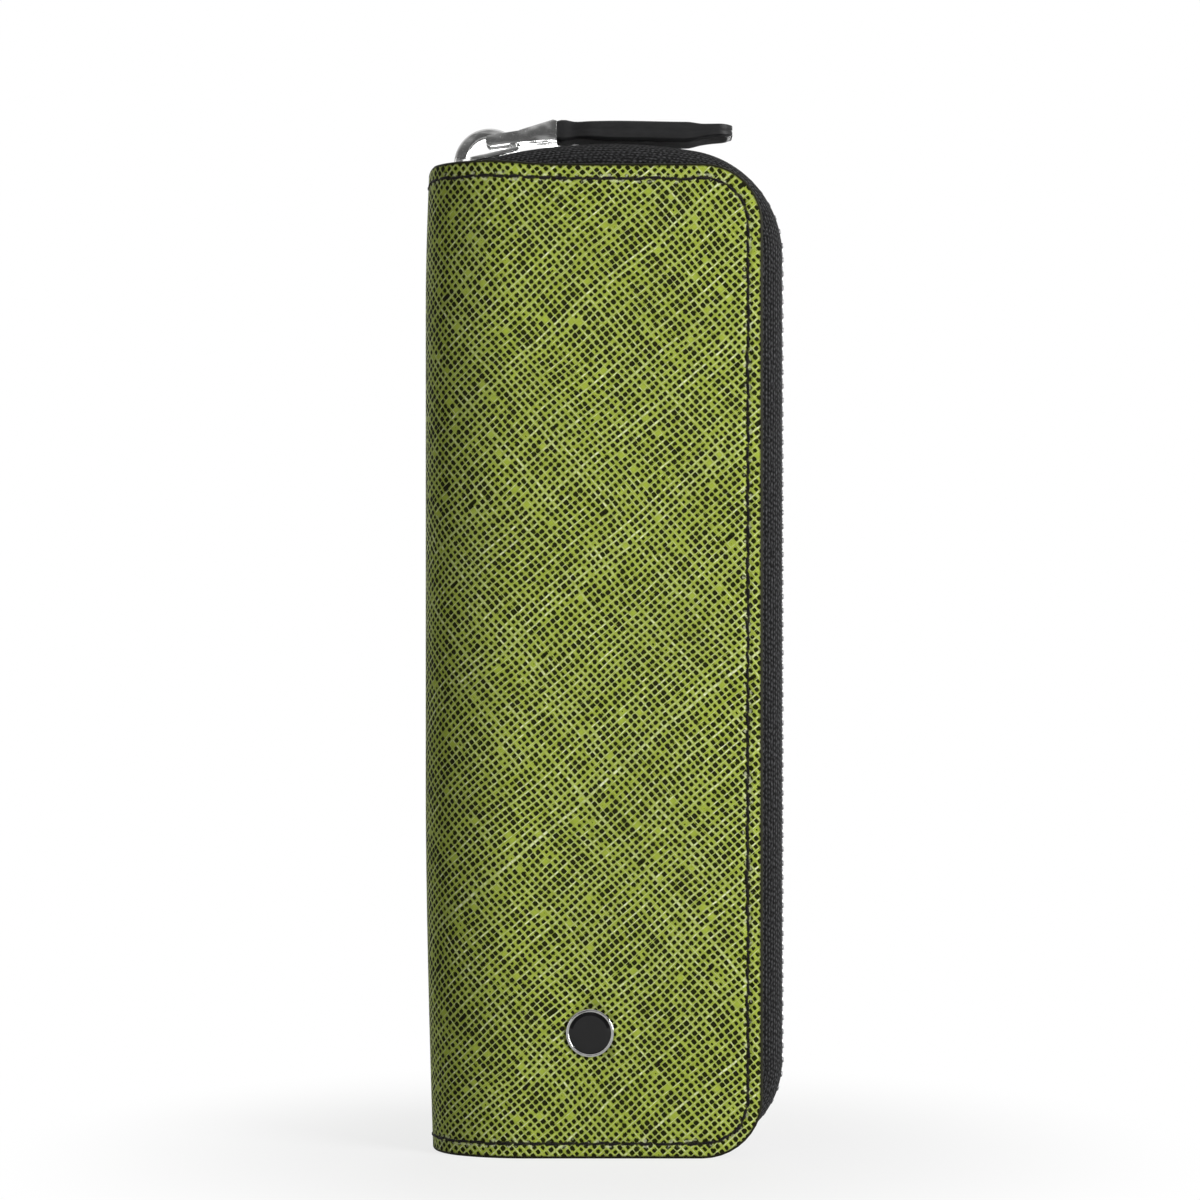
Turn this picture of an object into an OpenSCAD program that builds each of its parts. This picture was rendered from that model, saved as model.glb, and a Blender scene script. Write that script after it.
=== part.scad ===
// Zip-around fountain pen case: two leather covers on one rounded spine,
// a zip round the three open sides, and loops inside for two pens.
//
// Frame: millimetres, +Z up, the case stands on the bottom edges of its covers
// at z = 0, the front cover faces -Y, and the zip is on the +X side.

/* [Case] */
// height of the leather covers
case_h = 170; // [155:1:185]
// width of the leather, from the spine to the free edge
case_w = 58.3; // [56:0.1:64]
// thickness over both covers, with the zip closed
case_t = 24; // [23.4:0.1:26]
// thickness of the leather
leather_t = 1.2; // [0.9:0.1:1.4]
// thickness of the stiffening board under the leather
board_t = 1.0; // [0.8:0.1:1.2]
// thickness of the lining
lining_t = 0.6; // [0.5:0.05:0.8]
// radius of the covers' free corners
corner_r = 10.3; // [8:0.1:13]
// radius of the spine at its outermost line
spine_r = 10; // [9.4:0.1:10.6]

/* [Zip] */
// thickness of the woven tape
tape_t = 0.5; // [0.4:0.05:0.6]
// width of the tape's sewn strip, behind the covers' edges
tape_seam_w = 5.2; // [4.5:0.1:5.5]
// how far the tape bows out past the covers' free edge
zip_reach = 3.45; // [3:0.05:4]
// height of the tape's arched top run over the covers' top edge
zip_rise = 4.2; // [4:0.1:5]
// height of the tape's bottom run over the ground
zip_floor = 0.8; // [0.8:0.1:1.5]
// radius of the tape's arched top run
arch_r = 90; // [86:1:96]
// radius of the tape's upper corner
upper_r = 18; // [16:0.5:20]
// radius of the tape's lower corner
lower_r = 15; // [12:0.5:17]
// spacing of the teeth on one tape
tooth_pitch = 2.44; // [2.4:0.01:2.7]
// width of a tooth along the tape
tooth_w = 1.0; // [0.8:0.05:1]
// thickness of a tooth through the tape
tooth_t = 1.3; // [1.1:0.05:1.4]

/* [Slider] */
// length of the slider
slider_len = 12; // [11:0.2:12.4]
// thickness of the slider's two plates
plate_t = 0.6; // [0.5:0.05:0.7]
// outer radius of the arched bridge over the slider
bridge_r = 6.25; // [6:0.05:6.3]
// thickness of the bridge's strap
bridge_t = 1.95; // [1.8:0.05:2]
// width of the bridge's strap
bridge_w = 2.4; // [2:0.1:2.4]

/* [Puller] */
// length of the metal clasp from its pivot to its open end
clasp_len = 11.4; // [11:0.1:13]
// width of the clasp at its open end
clasp_w = 8; // [7.6:0.1:9]
// length of the leather tab outside the clasp
tab_len = 30.6; // [26:0.2:36]
// width of the leather tab
tab_w = 9; // [8:0.1:10]
// thickness of the doubled leather tab
tab_t = 2.4; // [2:0.1:2.6]

/* [Emblem] */
// diameter of the round emblem's metal rim
emblem_d = 8.2; // [7:0.1:10]
// width of the rim
emblem_rim = 0.5; // [0.4:0.05:0.8]
// height of the emblem's middle over the ground
emblem_z = 21.5; // [16:0.5:60]

/* [Inside] */
// width of the space that one pen takes in its loop
pen_d = 11.6; // [10:0.1:12]
// thickness of the loops, the sleeve and the flap
inner_t = 0.8; // [0.6:0.05:0.9]
// height of each pen loop along the pen
loop_h = 12; // [8:0.5:18]
// height of the sleeve that takes the pens' lower ends
sleeve_h = 52; // [40:1:60]
// height of the slip pocket on the front lining
pocket_h = 80; // [50:1:110]

/* [Hidden] */

$fn = 96;
far = 400;             // longer than anything in the part

// the case across its width, x, and its thickness, y
half_t = case_t / 2;
case_total_w = case_w + zip_reach + tooth_t / 2;
spine_x = -case_total_w / 2;
edge_x = spine_x + case_w;
spine_turn = 60;       // angle that the tight arc of the spine turns through
shoulder_r = (half_t - spine_r * sin(spine_turn)) / (1 - sin(spine_turn));
spine_axis_x = spine_x + spine_r;
flat_x = spine_axis_x + (shoulder_r - spine_r) * cos(spine_turn);
panel_x = flat_x + 0.35;
spine_slit = 0.15;     // from the hinge plane to each half of the spine

// depths of the layers, from the hinge plane, for the front cover's half
board_y = half_t - leather_t;
seam_y = board_y - board_t;
lining_y = seam_y - tape_t;
inside_y = lining_y - lining_t;

// the tape's profile across the case
tape_edge_y = 1.4;     // from the hinge plane to the tape's edge
tape_bow_r = 5;        // radius of the bend between the tape's flat and its seam
tape_bow_turn = 70;
tape_flat_y = seam_y - tape_t / 2 - tape_bow_r * sin(tape_bow_turn);
tape_drop = tape_bow_r * (1 - cos(tape_bow_turn));

// the tape's path round the case, in the plane y = 0
path_x = edge_x + zip_reach;
arch_x = spine_x + 0.55 * case_w;
arch_z = case_h + zip_rise - arch_r;
upper_x = path_x - upper_r;
upper_turn = asin((upper_x - arch_x) / (arch_r - upper_r));
upper_z = arch_z + (arch_r - upper_r) * cos(upper_turn);
lower_x = path_x - lower_r;
lower_z = zip_floor + lower_r;
tail_x = spine_x + 8;  // where the bottom run ends

// the slider rides the arch, and the teeth start behind its post
slider_half_turn = asin(slider_len / 2 / arch_r);
slider_in = 10.735;    // from the spine's outermost line to the slider's middle
slider_turn = -asin((arch_x - spine_x - slider_in) / arch_r);
slider_ride = -0.1;    // the slider's middle against the tape's, outwards
arch_start = slider_turn - slider_half_turn - 1.1;
channel_t = tooth_t + 0.4;
channel_w = 6.5;
slot_t = tape_t + 0.9;
post_from = -4.6;
post_to = -2.2;
post_w = 2.2;
first_tooth_s = -1.4;

// lengths along the tape's path from the slider's middle at rest
arch_len = arch_r * (upper_turn - slider_turn) * PI / 180;
upper_len = upper_r * (90 - upper_turn) * PI / 180;
side_len = upper_z - lower_z;
lower_len = lower_r * PI / 2;
bottom_len = lower_x - tail_x;
side_start = arch_len + upper_len;
lower_start = side_start + side_len;
bottom_start = lower_start + lower_len;
tooth_count = floor((bottom_start + bottom_len - 3 - first_tooth_s) / tooth_pitch);
top_tooth_count = ceil((arch_len - first_tooth_s) / tooth_pitch);

// teeth: a head that crosses the hinge plane and two legs that grip the tape
tooth_reach = 0.75;
tooth_root = 3.0;

// the bridge's hole is set over from its outer arc, so its near leg is thicker
bridge_x = 0.5;
hole_x = 0.9;
hole_z = 0.2;

// the puller's pivot, against the middle of the bridge's hole
pin_r = 0.5;
pivot_r = bridge_r - bridge_t - pin_r - 0.15;
pivot_turn = 12.8;     // from straight up towards the zip's far end
cheek_r = 0.95;
cheek_t = 1.0;
cheek_y = bridge_w / 2 + 0.3;
clasp_body_x = 4.9;    // from the pivot to the solid part of the clasp
clasp_body_top = 1.8;  // top of the solid part's narrow end over the pivot
socket_depth = 1.7;
clasp_wall = 0.5;
clasp_low = -0.04;     // underside of the clasp's open end over the pivot
tab_low = clasp_low + clasp_wall;
clasp_h = tab_t + 2 * clasp_wall;
neck_w = clasp_w - 1.6;

// the emblem, let into the front cover
emblem_x = spine_x + 28.75;
emblem_sunk = 0.6;
emblem_proud = 0.45;
emblem_floor_t = 0.25;

// the pens' loops, strip and sleeve, on the back lining
strip_y = inside_y - inner_t;
loop_out_r = pen_d / 2 + inner_t;
loop_y = strip_y - pen_d / 2;
loop_pitch = pen_d + 2 * inner_t + 4.4;
loop_x = (flat_x + path_x - 9) / 2 + 1.2;
loop_z = case_h * 0.68;
sleeve_z = 14;
strip_w = loop_pitch + 2 * loop_out_r + 1.6;

// the flap between the pens and the front cover, bent once along its height
flap_hinge_x = spine_x + leather_t + lining_t + 0.5;
flap_hinge_y = 0.6;
flap_bend_x = spine_x + 14;
flap_y = loop_y - loop_out_r - 2.1;
flap_end_x = edge_x - 5;
flap_z = sleeve_z;
flap_h = case_h - flap_z - 18;

// ---- placing ----------------------------------------------------------

// a frame on the tape's path: +X along it, +Z out of the case
module on_path(s) {
    if (s < arch_len)
        on_arc(arch_x, arch_z, arch_r, slider_turn + s / arch_r * 180 / PI) children();
    else if (s < side_start)
        on_arc(upper_x, upper_z, upper_r,
               upper_turn + (s - arch_len) / upper_r * 180 / PI) children();
    else if (s < lower_start)
        translate([path_x, 0, upper_z - (s - side_start)])
            rotate([0, 90, 0]) children();
    else if (s < bottom_start)
        on_arc(lower_x, lower_z, lower_r,
               90 + (s - lower_start) / lower_r * 180 / PI) children();
    else
        translate([lower_x - (s - bottom_start), 0, zip_floor])
            rotate([0, 180, 0]) children();
}

// a frame on an arc about the Y direction, turned from straight up towards +X
module on_arc(x, z, r, turn) {
    translate([x, 0, z])
        rotate([0, turn, 0])
            translate([0, 0, r])
                children();
}

// the slider's frame at rest
module on_slider() {
    on_arc(arch_x, arch_z, arch_r + slider_ride, slider_turn)
        children();
}

// the puller's frame at rest: origin on the pivot, level, +X to the tab's end
module on_pivot() {
    on_slider()
        translate([hole_x, 0, hole_z])
            rotate([0, pivot_turn, 0])
                translate([0, 0, pivot_r])
                    rotate([0, -pivot_turn - slider_turn, 0])
                        children();
}

// children in the front half, or mirrored into the back half
module in_half(back) {
    if (back)
        mirror([0, 1, 0]) children();
    else
        children();
}

// a sheet t thick in the X-Z plane, with its inner face at y = -y_in
module sheet_xz(y_in, t) {
    translate([0, -y_in, 0])
        rotate([90, 0, 0])
            linear_extrude(height = t)
                children();
}

// a profile in the Y-Z plane pushed l along +X
module push_x(l) {
    rotate([90, 0, 90])
        linear_extrude(height = l)
            children();
}

// a profile in the X-Z plane pushed w along Y, its middle on y = 0
module push_y(w) {
    translate([0, w / 2, 0])
        rotate([90, 0, 0])
            linear_extrude(height = w)
                children();
}

// ---- covers -----------------------------------------------------------

// a cover's outline right of x0, less a margin, rounded at the free corners
module cover_outline(x0, margin) {
    r = corner_r - margin;
    w = edge_x - margin - x0;
    translate([x0, margin])
        square([w - r, case_h - 2 * margin]);
    translate([x0, corner_r])
        square([w, case_h - 2 * corner_r]);
    for (z = [corner_r, case_h - corner_r])
        translate([edge_x - corner_r, z])
            circle(r);
}

// a sector of a circle between two turns from straight up towards +X
module sector(x, z, r, from, to) {
    translate([x, z])
        intersection() {
            circle(r);
            polygon([[0, 0],
                2 * r * [sin(from), cos(from)],
                2 * r * [sin((from + to) / 2), cos((from + to) / 2)],
                2 * r * [sin(to), cos(to)]]);
        }
}

// the area inside the tape's path right of x0, less a margin
module zip_outline(x0, margin) {
    intersection() {
        translate([arch_x, arch_z])
            circle(arch_r - margin);
        polygon([[arch_x, arch_z],
            [arch_x + far * sin(upper_turn), arch_z + far * cos(upper_turn)],
            [x0, arch_z + far],
            [x0, arch_z]]);
    }
    sector(upper_x, upper_z, upper_r - margin, upper_turn, 90);
    sector(lower_x, lower_z, lower_r - margin, 90, 180);
    polygon([[x0, arch_z],
        [x0, zip_floor + margin],
        [lower_x, zip_floor + margin],
        [lower_x, lower_z],
        [path_x - margin, lower_z],
        [path_x - margin, upper_z],
        [upper_x, upper_z],
        [arch_x, arch_z]]);
}

// a band t thick and a depth under the spine's outer face, front half, from above
module spine_band(depth, t) {
    intersection() {
        translate([spine_axis_x, 0])
            difference() {
                circle(spine_r - depth);
                circle(spine_r - depth - t);
            }
        polygon([[spine_axis_x, -spine_slit],
            [spine_x - 1, -spine_slit],
            [spine_x - 1, -half_t],
            [spine_axis_x - half_t / tan(spine_turn), -half_t],
            [spine_axis_x - spine_slit / tan(spine_turn), -spine_slit]]);
    }
    intersection() {
        translate([flat_x, shoulder_r - half_t])
            difference() {
                circle(shoulder_r - depth);
                circle(shoulder_r - depth - t);
            }
        polygon([[flat_x, shoulder_r - half_t],
            [flat_x, -half_t - 1],
            [flat_x - (shoulder_r + 1) / tan(spine_turn), -half_t - 1]]);
    }
}

// one leather cover with its half of the spine
module cover() {
    sheet_xz(board_y, leather_t)
        cover_outline(flat_x, 0);
    linear_extrude(height = case_h)
        spine_band(0, leather_t);
}

module back_cover() {
    color("olivedrab") in_half(true) cover();
}

module front_cover() {
    color("olivedrab")
        difference() {
            cover();
            translate([emblem_x, -half_t - 1, emblem_z])
                rotate([-90, 0, 0])
                    cylinder(r = emblem_d / 2, h = emblem_sunk + 1);
        }
}

module board() {
    sheet_xz(seam_y, board_t)
        cover_outline(panel_x, 0.15);
}

module back_board() {
    color("dimgray") in_half(true) board();
}

module front_board() {
    color("dimgray") board();
}

// thin wadding that fills the thickness of the tape's seam under the lining
module pad() {
    sheet_xz(lining_y, tape_t)
        zip_outline(panel_x, tape_drop + tape_seam_w + 0.3);
}

module back_pad() {
    color("silver") in_half(true) pad();
}

module front_pad() {
    color("silver") pad();
}

module lining() {
    sheet_xz(inside_y, lining_t)
        zip_outline(panel_x, tape_drop + 1.3);
}

module back_lining() {
    color("darkslategray") in_half(true) lining();
}

module front_lining() {
    color("darkslategray") lining();
}

module spine_lining() {
    translate([0, 0, 5])
        linear_extrude(height = case_h - 10)
            spine_band(leather_t, lining_t);
}

module back_spine_lining() {
    color("darkslategray") in_half(true) spine_lining();
}

module front_spine_lining() {
    color("darkslategray") spine_lining();
}

// ---- zip --------------------------------------------------------------

// the tape's profile, front half: across the case in x, out of the case in y
module tape_profile() {
    far_y = seam_y - tape_t;
    translate([-tape_flat_y, -tape_t / 2])
        square([tape_flat_y - tape_edge_y, tape_t]);
    translate([-tape_flat_y, -tape_bow_r])
        intersection() {
            difference() {
                circle(tape_bow_r + tape_t / 2);
                circle(tape_bow_r - tape_t / 2);
            }
            polygon([[0, 0],
                [0, 2 * tape_bow_r],
                [-2 * tape_bow_r, 2 * tape_bow_r],
                [-2 * tape_bow_r, 2 * tape_bow_r / tan(tape_bow_turn)]]);
        }
    translate([-far_y - tape_t, -tape_drop - tape_seam_w])
        square([tape_t, tape_seam_w]);
}

// the tape's profile swept on an arc, from one turn from straight up to another
module tape_arc(x, z, r, from, to) {
    translate([x, 0, z])
        rotate([-90, 0, 0])
            rotate([0, 0, from - 90])
                rotate_extrude(angle = to - from)
                    translate([r, 0])
                        mirror([1, -1, 0])
                            tape_profile();
}

// the whole tape, its two ends cut slanting to clear the spine
module tape() {
    difference() {
        union() {
            tape_arc(arch_x, arch_z, arch_r, arch_start, upper_turn);
            tape_arc(upper_x, upper_z, upper_r, 90, upper_turn);
            translate([path_x, 0, upper_z])
                rotate([0, 90, 0])
                    push_x(side_len)
                        tape_profile();
            tape_arc(lower_x, lower_z, lower_r, 90, 180);
            translate([lower_x, 0, zip_floor])
                rotate([0, 180, 0])
                    push_x(bottom_len)
                        tape_profile();
        }
        translate([0, 0, -1])
            linear_extrude(height = case_h + 10)
                polygon([[spine_x + 3.4, -4],
                    [spine_x + 16.6, -seam_y - 0.4],
                    [spine_x + 16.6, -half_t],
                    [spine_x, -half_t],
                    [spine_x, -4]]);
    }
}

module back_tape() {
    color("black") in_half(true) tape();
}

module front_tape() {
    color("black") tape();
}

// one tooth in the path's frame, its head towards +Y
module tooth() {
    w = tooth_w / 2;
    chamfer = 0.25;
    difference() {
        translate([0, 0, -tooth_t / 2])
            linear_extrude(height = tooth_t)
                polygon([[-w, -tooth_root],
                    [w, -tooth_root],
                    [w, tooth_reach - chamfer],
                    [w - chamfer, tooth_reach],
                    [chamfer - w, tooth_reach],
                    [-w, tooth_reach - chamfer]]);
        translate([-tooth_w, -tooth_root - 1, -tape_t / 2])
            cube([2 * tooth_w, tooth_root + 1 - tape_edge_y + 0.05, tape_t]);
    }
}

// teeth number first to last, stepped half a pitch on for the back half
module teeth(first, last, back) {
    shift = back ? tooth_pitch / 2 : 0;
    for (i = [first : last])
        on_path(first_tooth_s + shift + i * tooth_pitch)
            in_half(back)
                tooth();
}

module back_top_teeth() {
    color("silver") teeth(0, top_tooth_count - 1, true);
}

module back_side_teeth() {
    color("silver") teeth(top_tooth_count, tooth_count - 1, true);
}

module front_top_teeth() {
    color("silver") teeth(0, top_tooth_count - 1, false);
}

module front_side_teeth() {
    color("silver") teeth(top_tooth_count, tooth_count - 1, false);
}

// a stop clamped on the tape's edge, in the path's frame, front half
module zip_stop() {
    stop_w = 1.4 * tooth_w;
    difference() {
        translate([-stop_w / 2, -tooth_root, -tooth_t / 2])
            cube([stop_w, tooth_root - 0.3, tooth_t]);
        translate([-stop_w, -tooth_root - 1, -tape_t / 2])
            cube([2 * stop_w, tooth_root + 1 - tape_edge_y + 0.05, tape_t]);
    }
}

module zip_stops() {
    on_arc(arch_x, arch_z, arch_r, arch_start + 0.5)
        zip_stop();
    on_path(bottom_start + bottom_len - 0.8)
        zip_stop();
}

module back_zip_stops() {
    color("silver") in_half(true) zip_stops();
}

module front_zip_stops() {
    color("silver") zip_stops();
}

// ---- slider and puller ------------------------------------------------

// the plan of the slider's plates: wide and round at the post's end
module slider_plan() {
    nose_r = channel_w / 2 + 1.1;
    nose_x = nose_r - slider_len / 2;
    half_w = channel_w / 2 + 0.7;
    translate([nose_x, 0])
        circle(nose_r);
    translate([nose_x, -half_w])
        square([slider_len / 2 - nose_x, 2 * half_w]);
}

// two plates, a post between them, and side flanges with a slot for each tape
module slider_body() {
    total_t = channel_t + 2 * plate_t;
    post_t = channel_t + plate_t;
    color("gainsboro")
        on_slider() {
            difference() {
                translate([0, 0, -total_t / 2])
                    linear_extrude(height = total_t)
                        slider_plan();
                translate([-slider_len, -channel_w / 2, -channel_t / 2])
                    cube([2 * slider_len, channel_w, channel_t]);
                translate([-slider_len, -channel_w, -slot_t / 2])
                    cube([2 * slider_len, 2 * channel_w, slot_t]);
            }
            translate([post_from, 0, -post_t / 2])
                linear_extrude(height = post_t)
                    polygon([[0, 0],
                        [1, post_w / 2],
                        [post_to - post_from, 0.4],
                        [post_to - post_from, -0.4],
                        [1, -post_w / 2]]);
        }
}

// an arched strap over the slider, for the clasp to swing and slide on
module slider_bridge() {
    foot_z = channel_t / 2 + plate_t;
    color("gainsboro")
        on_slider()
            push_y(bridge_w)
                intersection() {
                    difference() {
                        translate([bridge_x, 0])
                            circle(bridge_r);
                        translate([hole_x, hole_z])
                            circle(bridge_r - bridge_t);
                    }
                    translate([-bridge_r, foot_z])
                        square([bridge_r + slider_len / 2, bridge_r]);
                }
}

// the side view of the clasp's two cheeks
module cheek_side() {
    circle(cheek_r);
    polygon([[0, -cheek_r],
        [clasp_body_x + 0.5, -0.25],
        [clasp_body_x + 0.5, clasp_body_top],
        [0, cheek_r]]);
}

// the side view of the clasp's wedge
module wedge_side() {
    top = clasp_low + clasp_h;
    polygon([[clasp_body_x, -0.3],
        [clasp_len, clasp_low],
        [clasp_len, top - 0.2],
        [clasp_len - 0.6, top],
        [clasp_body_x, clasp_body_top]]);
}

// a wedge of metal: a fork and pin round the bridge, and a socket for the tab
module puller_clasp() {
    fork_w = 2 * (cheek_y + cheek_t);
    color("gainsboro")
        on_pivot() {
            for (y = [-cheek_y - cheek_t / 2, cheek_y + cheek_t / 2])
                translate([0, y, 0])
                    push_y(cheek_t)
                        cheek_side();
            rotate([90, 0, 0])
                cylinder(r = pin_r, h = fork_w - 1, center = true);
            difference() {
                intersection() {
                    push_y(clasp_w)
                        wedge_side();
                    translate([0, 0, -1])
                        linear_extrude(height = clasp_h + 4)
                            polygon([[clasp_body_x, -fork_w / 2],
                                [clasp_len, -clasp_w / 2],
                                [clasp_len, clasp_w / 2],
                                [clasp_body_x, fork_w / 2]]);
                }
                translate([clasp_len - socket_depth, -neck_w / 2, tab_low])
                    cube([socket_depth + 1, neck_w, tab_t]);
            }
        }
}

// the plan of the leather tab: a neck in the clasp's socket, then full width
module tab_plan() {
    neck_x = clasp_len - socket_depth;
    shoulder_x = clasp_len + 1.8;
    end_x = clasp_len + tab_len;
    r = 2;
    translate([neck_x, -neck_w / 2])
        square([shoulder_x - neck_x, neck_w]);
    polygon([[clasp_len + 0.2, -neck_w / 2],
        [shoulder_x + 1.5, -tab_w / 2],
        [shoulder_x + 1.5, tab_w / 2],
        [clasp_len + 0.2, neck_w / 2]]);
    translate([shoulder_x + 1.5, -tab_w / 2])
        square([end_x - r - shoulder_x - 1.5, tab_w]);
    translate([end_x - r, r - tab_w / 2])
        square([r, tab_w - 2 * r]);
    for (y = [r - tab_w / 2, tab_w / 2 - r])
        translate([end_x - r, y])
            circle(r);
}

module puller_tab() {
    color("black")
        on_pivot()
            translate([0, 0, tab_low])
                linear_extrude(height = tab_t)
                    tab_plan();
}

// ---- emblem -----------------------------------------------------------

// a frame on the front cover's face at the emblem, +Z out of the case
module on_emblem() {
    translate([emblem_x, emblem_sunk - half_t, emblem_z])
        rotate([90, 0, 0])
            children();
}

// a plain metal cup with a narrow rim
module emblem_rim_cup() {
    color("gainsboro")
        on_emblem()
            difference() {
                cylinder(d = emblem_d, h = emblem_sunk + emblem_proud);
                translate([0, 0, emblem_floor_t])
                    cylinder(d = emblem_d - 2 * emblem_rim, h = 5);
            }
}

// a plain glossy disc in the cup, bevelled at its edge
module emblem_disc() {
    r = emblem_d / 2 - emblem_rim;
    top = emblem_sunk + emblem_proud - 0.1;
    color("black")
        on_emblem()
            rotate_extrude()
                polygon([[0, emblem_floor_t],
                    [r, emblem_floor_t],
                    [r, top - 0.15],
                    [r - 0.6, top],
                    [0, top]]);
}

// ---- inside -----------------------------------------------------------

// a leather strip on the back lining that the pen loops are sewn to
module loop_strip() {
    color("saddlebrown")
        mirror([0, 1, 0])
            sheet_xz(strip_y, inner_t)
                translate([loop_x - strip_w / 2, loop_z - 2])
                    square([strip_w, loop_h + 4]);
}

// a band h high that holds one pen against the back cover, seen from above as a U
module pen_band(x, h) {
    leg_y = strip_y - loop_y;
    translate([x, loop_y, 0])
        linear_extrude(height = h) {
            difference() {
                circle(loop_out_r);
                circle(pen_d / 2);
                translate([-loop_out_r, 0])
                    square([2 * loop_out_r, loop_out_r]);
            }
            for (side = [-1, 1])
                translate([side * (loop_out_r - inner_t / 2) - inner_t / 2, 0])
                    square([inner_t, leg_y]);
        }
}

module pen_loop_left() {
    color("dimgray")
        translate([0, 0, loop_z])
            pen_band(loop_x - loop_pitch / 2, loop_h);
}

module pen_loop_right() {
    color("dimgray")
        translate([0, 0, loop_z])
            pen_band(loop_x + loop_pitch / 2, loop_h);
}

// a leather sleeve for the pens' lower ends: two bands on one backing sheet
module pen_sleeve() {
    color("saddlebrown") {
        mirror([0, 1, 0])
            sheet_xz(strip_y, inner_t)
                translate([loop_x - strip_w / 2, sleeve_z])
                    square([strip_w, sleeve_h]);
        translate([0, 0, sleeve_z]) {
            pen_band(loop_x - loop_pitch / 2, sleeve_h);
            pen_band(loop_x + loop_pitch / 2, sleeve_h);
        }
    }
}

// a flat pocket sewn on the front lining, open at the top
module slip_pocket() {
    color("saddlebrown")
        sheet_xz(inside_y - inner_t, inner_t)
            translate([panel_x + 1, sleeve_z])
                square([edge_x - 7 - panel_x, pocket_h]);
}

// a leather flap sewn in the fold of the spine, between the pens and the front
module divider_flap() {
    t = inner_t;
    color("saddlebrown")
        translate([0, 0, flap_z])
            linear_extrude(height = flap_h)
                polygon([[flap_hinge_x, flap_hinge_y],
                    [flap_hinge_x, flap_hinge_y - t],
                    [flap_bend_x - t / 2, flap_y - t],
                    [flap_end_x, flap_y - t],
                    [flap_end_x, flap_y],
                    [flap_bend_x, flap_y]]);
}

// ---- assembly ---------------------------------------------------------

back_cover();
back_board();
back_pad();
back_lining();
back_spine_lining();
back_tape();
back_top_teeth();
back_side_teeth();
back_zip_stops();
loop_strip();
pen_loop_left();
pen_loop_right();
pen_sleeve();
front_cover();
front_board();
front_pad();
front_lining();
front_spine_lining();
front_tape();
front_top_teeth();
front_side_teeth();
front_zip_stops();
slip_pocket();
emblem_rim_cup();  // emblem_rim
emblem_disc();
divider_flap();
slider_body();
slider_bridge();
puller_clasp();
puller_tab();
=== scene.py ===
"""The looks of a zip-around fountain pen case, built over its solid parts.

Every new surface is a lattice of points worked out with numpy. Lengths are
metres, and UV maps are true millimetres along the surface.
"""

import math

import bmesh
import bpy
import numpy as np
from bpy.props import FloatProperty, FloatVectorProperty, PointerProperty
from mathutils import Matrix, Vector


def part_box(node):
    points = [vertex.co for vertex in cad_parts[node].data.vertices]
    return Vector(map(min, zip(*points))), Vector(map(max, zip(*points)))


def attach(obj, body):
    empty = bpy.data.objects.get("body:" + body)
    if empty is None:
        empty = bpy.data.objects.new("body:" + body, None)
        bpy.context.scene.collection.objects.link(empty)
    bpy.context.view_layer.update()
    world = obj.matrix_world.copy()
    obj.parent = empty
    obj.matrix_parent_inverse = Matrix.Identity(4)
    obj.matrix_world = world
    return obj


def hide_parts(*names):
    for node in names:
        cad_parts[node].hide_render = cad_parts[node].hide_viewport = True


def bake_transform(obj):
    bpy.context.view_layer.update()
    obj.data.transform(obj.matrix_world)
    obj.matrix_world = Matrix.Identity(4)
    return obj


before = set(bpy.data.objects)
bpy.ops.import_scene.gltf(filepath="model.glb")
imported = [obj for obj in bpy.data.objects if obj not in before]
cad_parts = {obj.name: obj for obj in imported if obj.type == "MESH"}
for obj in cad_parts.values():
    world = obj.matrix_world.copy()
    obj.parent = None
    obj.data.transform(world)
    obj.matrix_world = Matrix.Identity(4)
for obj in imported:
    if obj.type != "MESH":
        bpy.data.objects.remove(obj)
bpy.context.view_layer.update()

bl_info = {
    "name": "Fountain pen case",
    "version": (1, 0, 0),
    "blender": (4, 5, 0),
    "location": "View3D > Sidebar > Pen case",
    "description": "Builds the leather, zip and inside of a zip-around pen case",
    "category": "Object",
}

MM = 0.001
FRONT, BACK = -1, 1      # the side of the hinge plane y = 0 that a half lies on
COVER_LOW, COVER_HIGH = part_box("front_cover")

WADDING_INSET = 8.8 * MM                      # from the zip's path inwards to the wadding's edge
LINING_INSET = 4.59 * MM                      # from the zip's path inwards to the lining's edge
STRIP_NEAR, STRIP_FAR = 7.9 * MM, 8.7 * MM    # the two faces of the strips sewn to the back lining
BAND_LEATHER = 0.8 * MM                       # thickness of the pens' bands and of the flap
INNER_THREAD = 0.35 * MM                      # thickness of the thread inside the case


def paint(code):
    """Linear colour of a six-digit sRGB code."""
    parts = [int(code[i : i + 2], 16) / 255 for i in (0, 2, 4)]
    return [p / 12.92 if p <= 0.04045 else ((p + 0.055) / 1.055) ** 2.4 for p in parts]


def length(name, description, default):
    """A length that a user can change, in metres."""
    return FloatProperty(
        name=name, description=description, default=default, min=0, subtype="DISTANCE", unit="LENGTH"
    )


def colour(name, description, code):
    """A colour that a user can change, from its sRGB code."""
    return FloatVectorProperty(
        name=name, description=description, default=paint(code), size=3, min=0, max=1, subtype="COLOR"
    )


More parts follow.
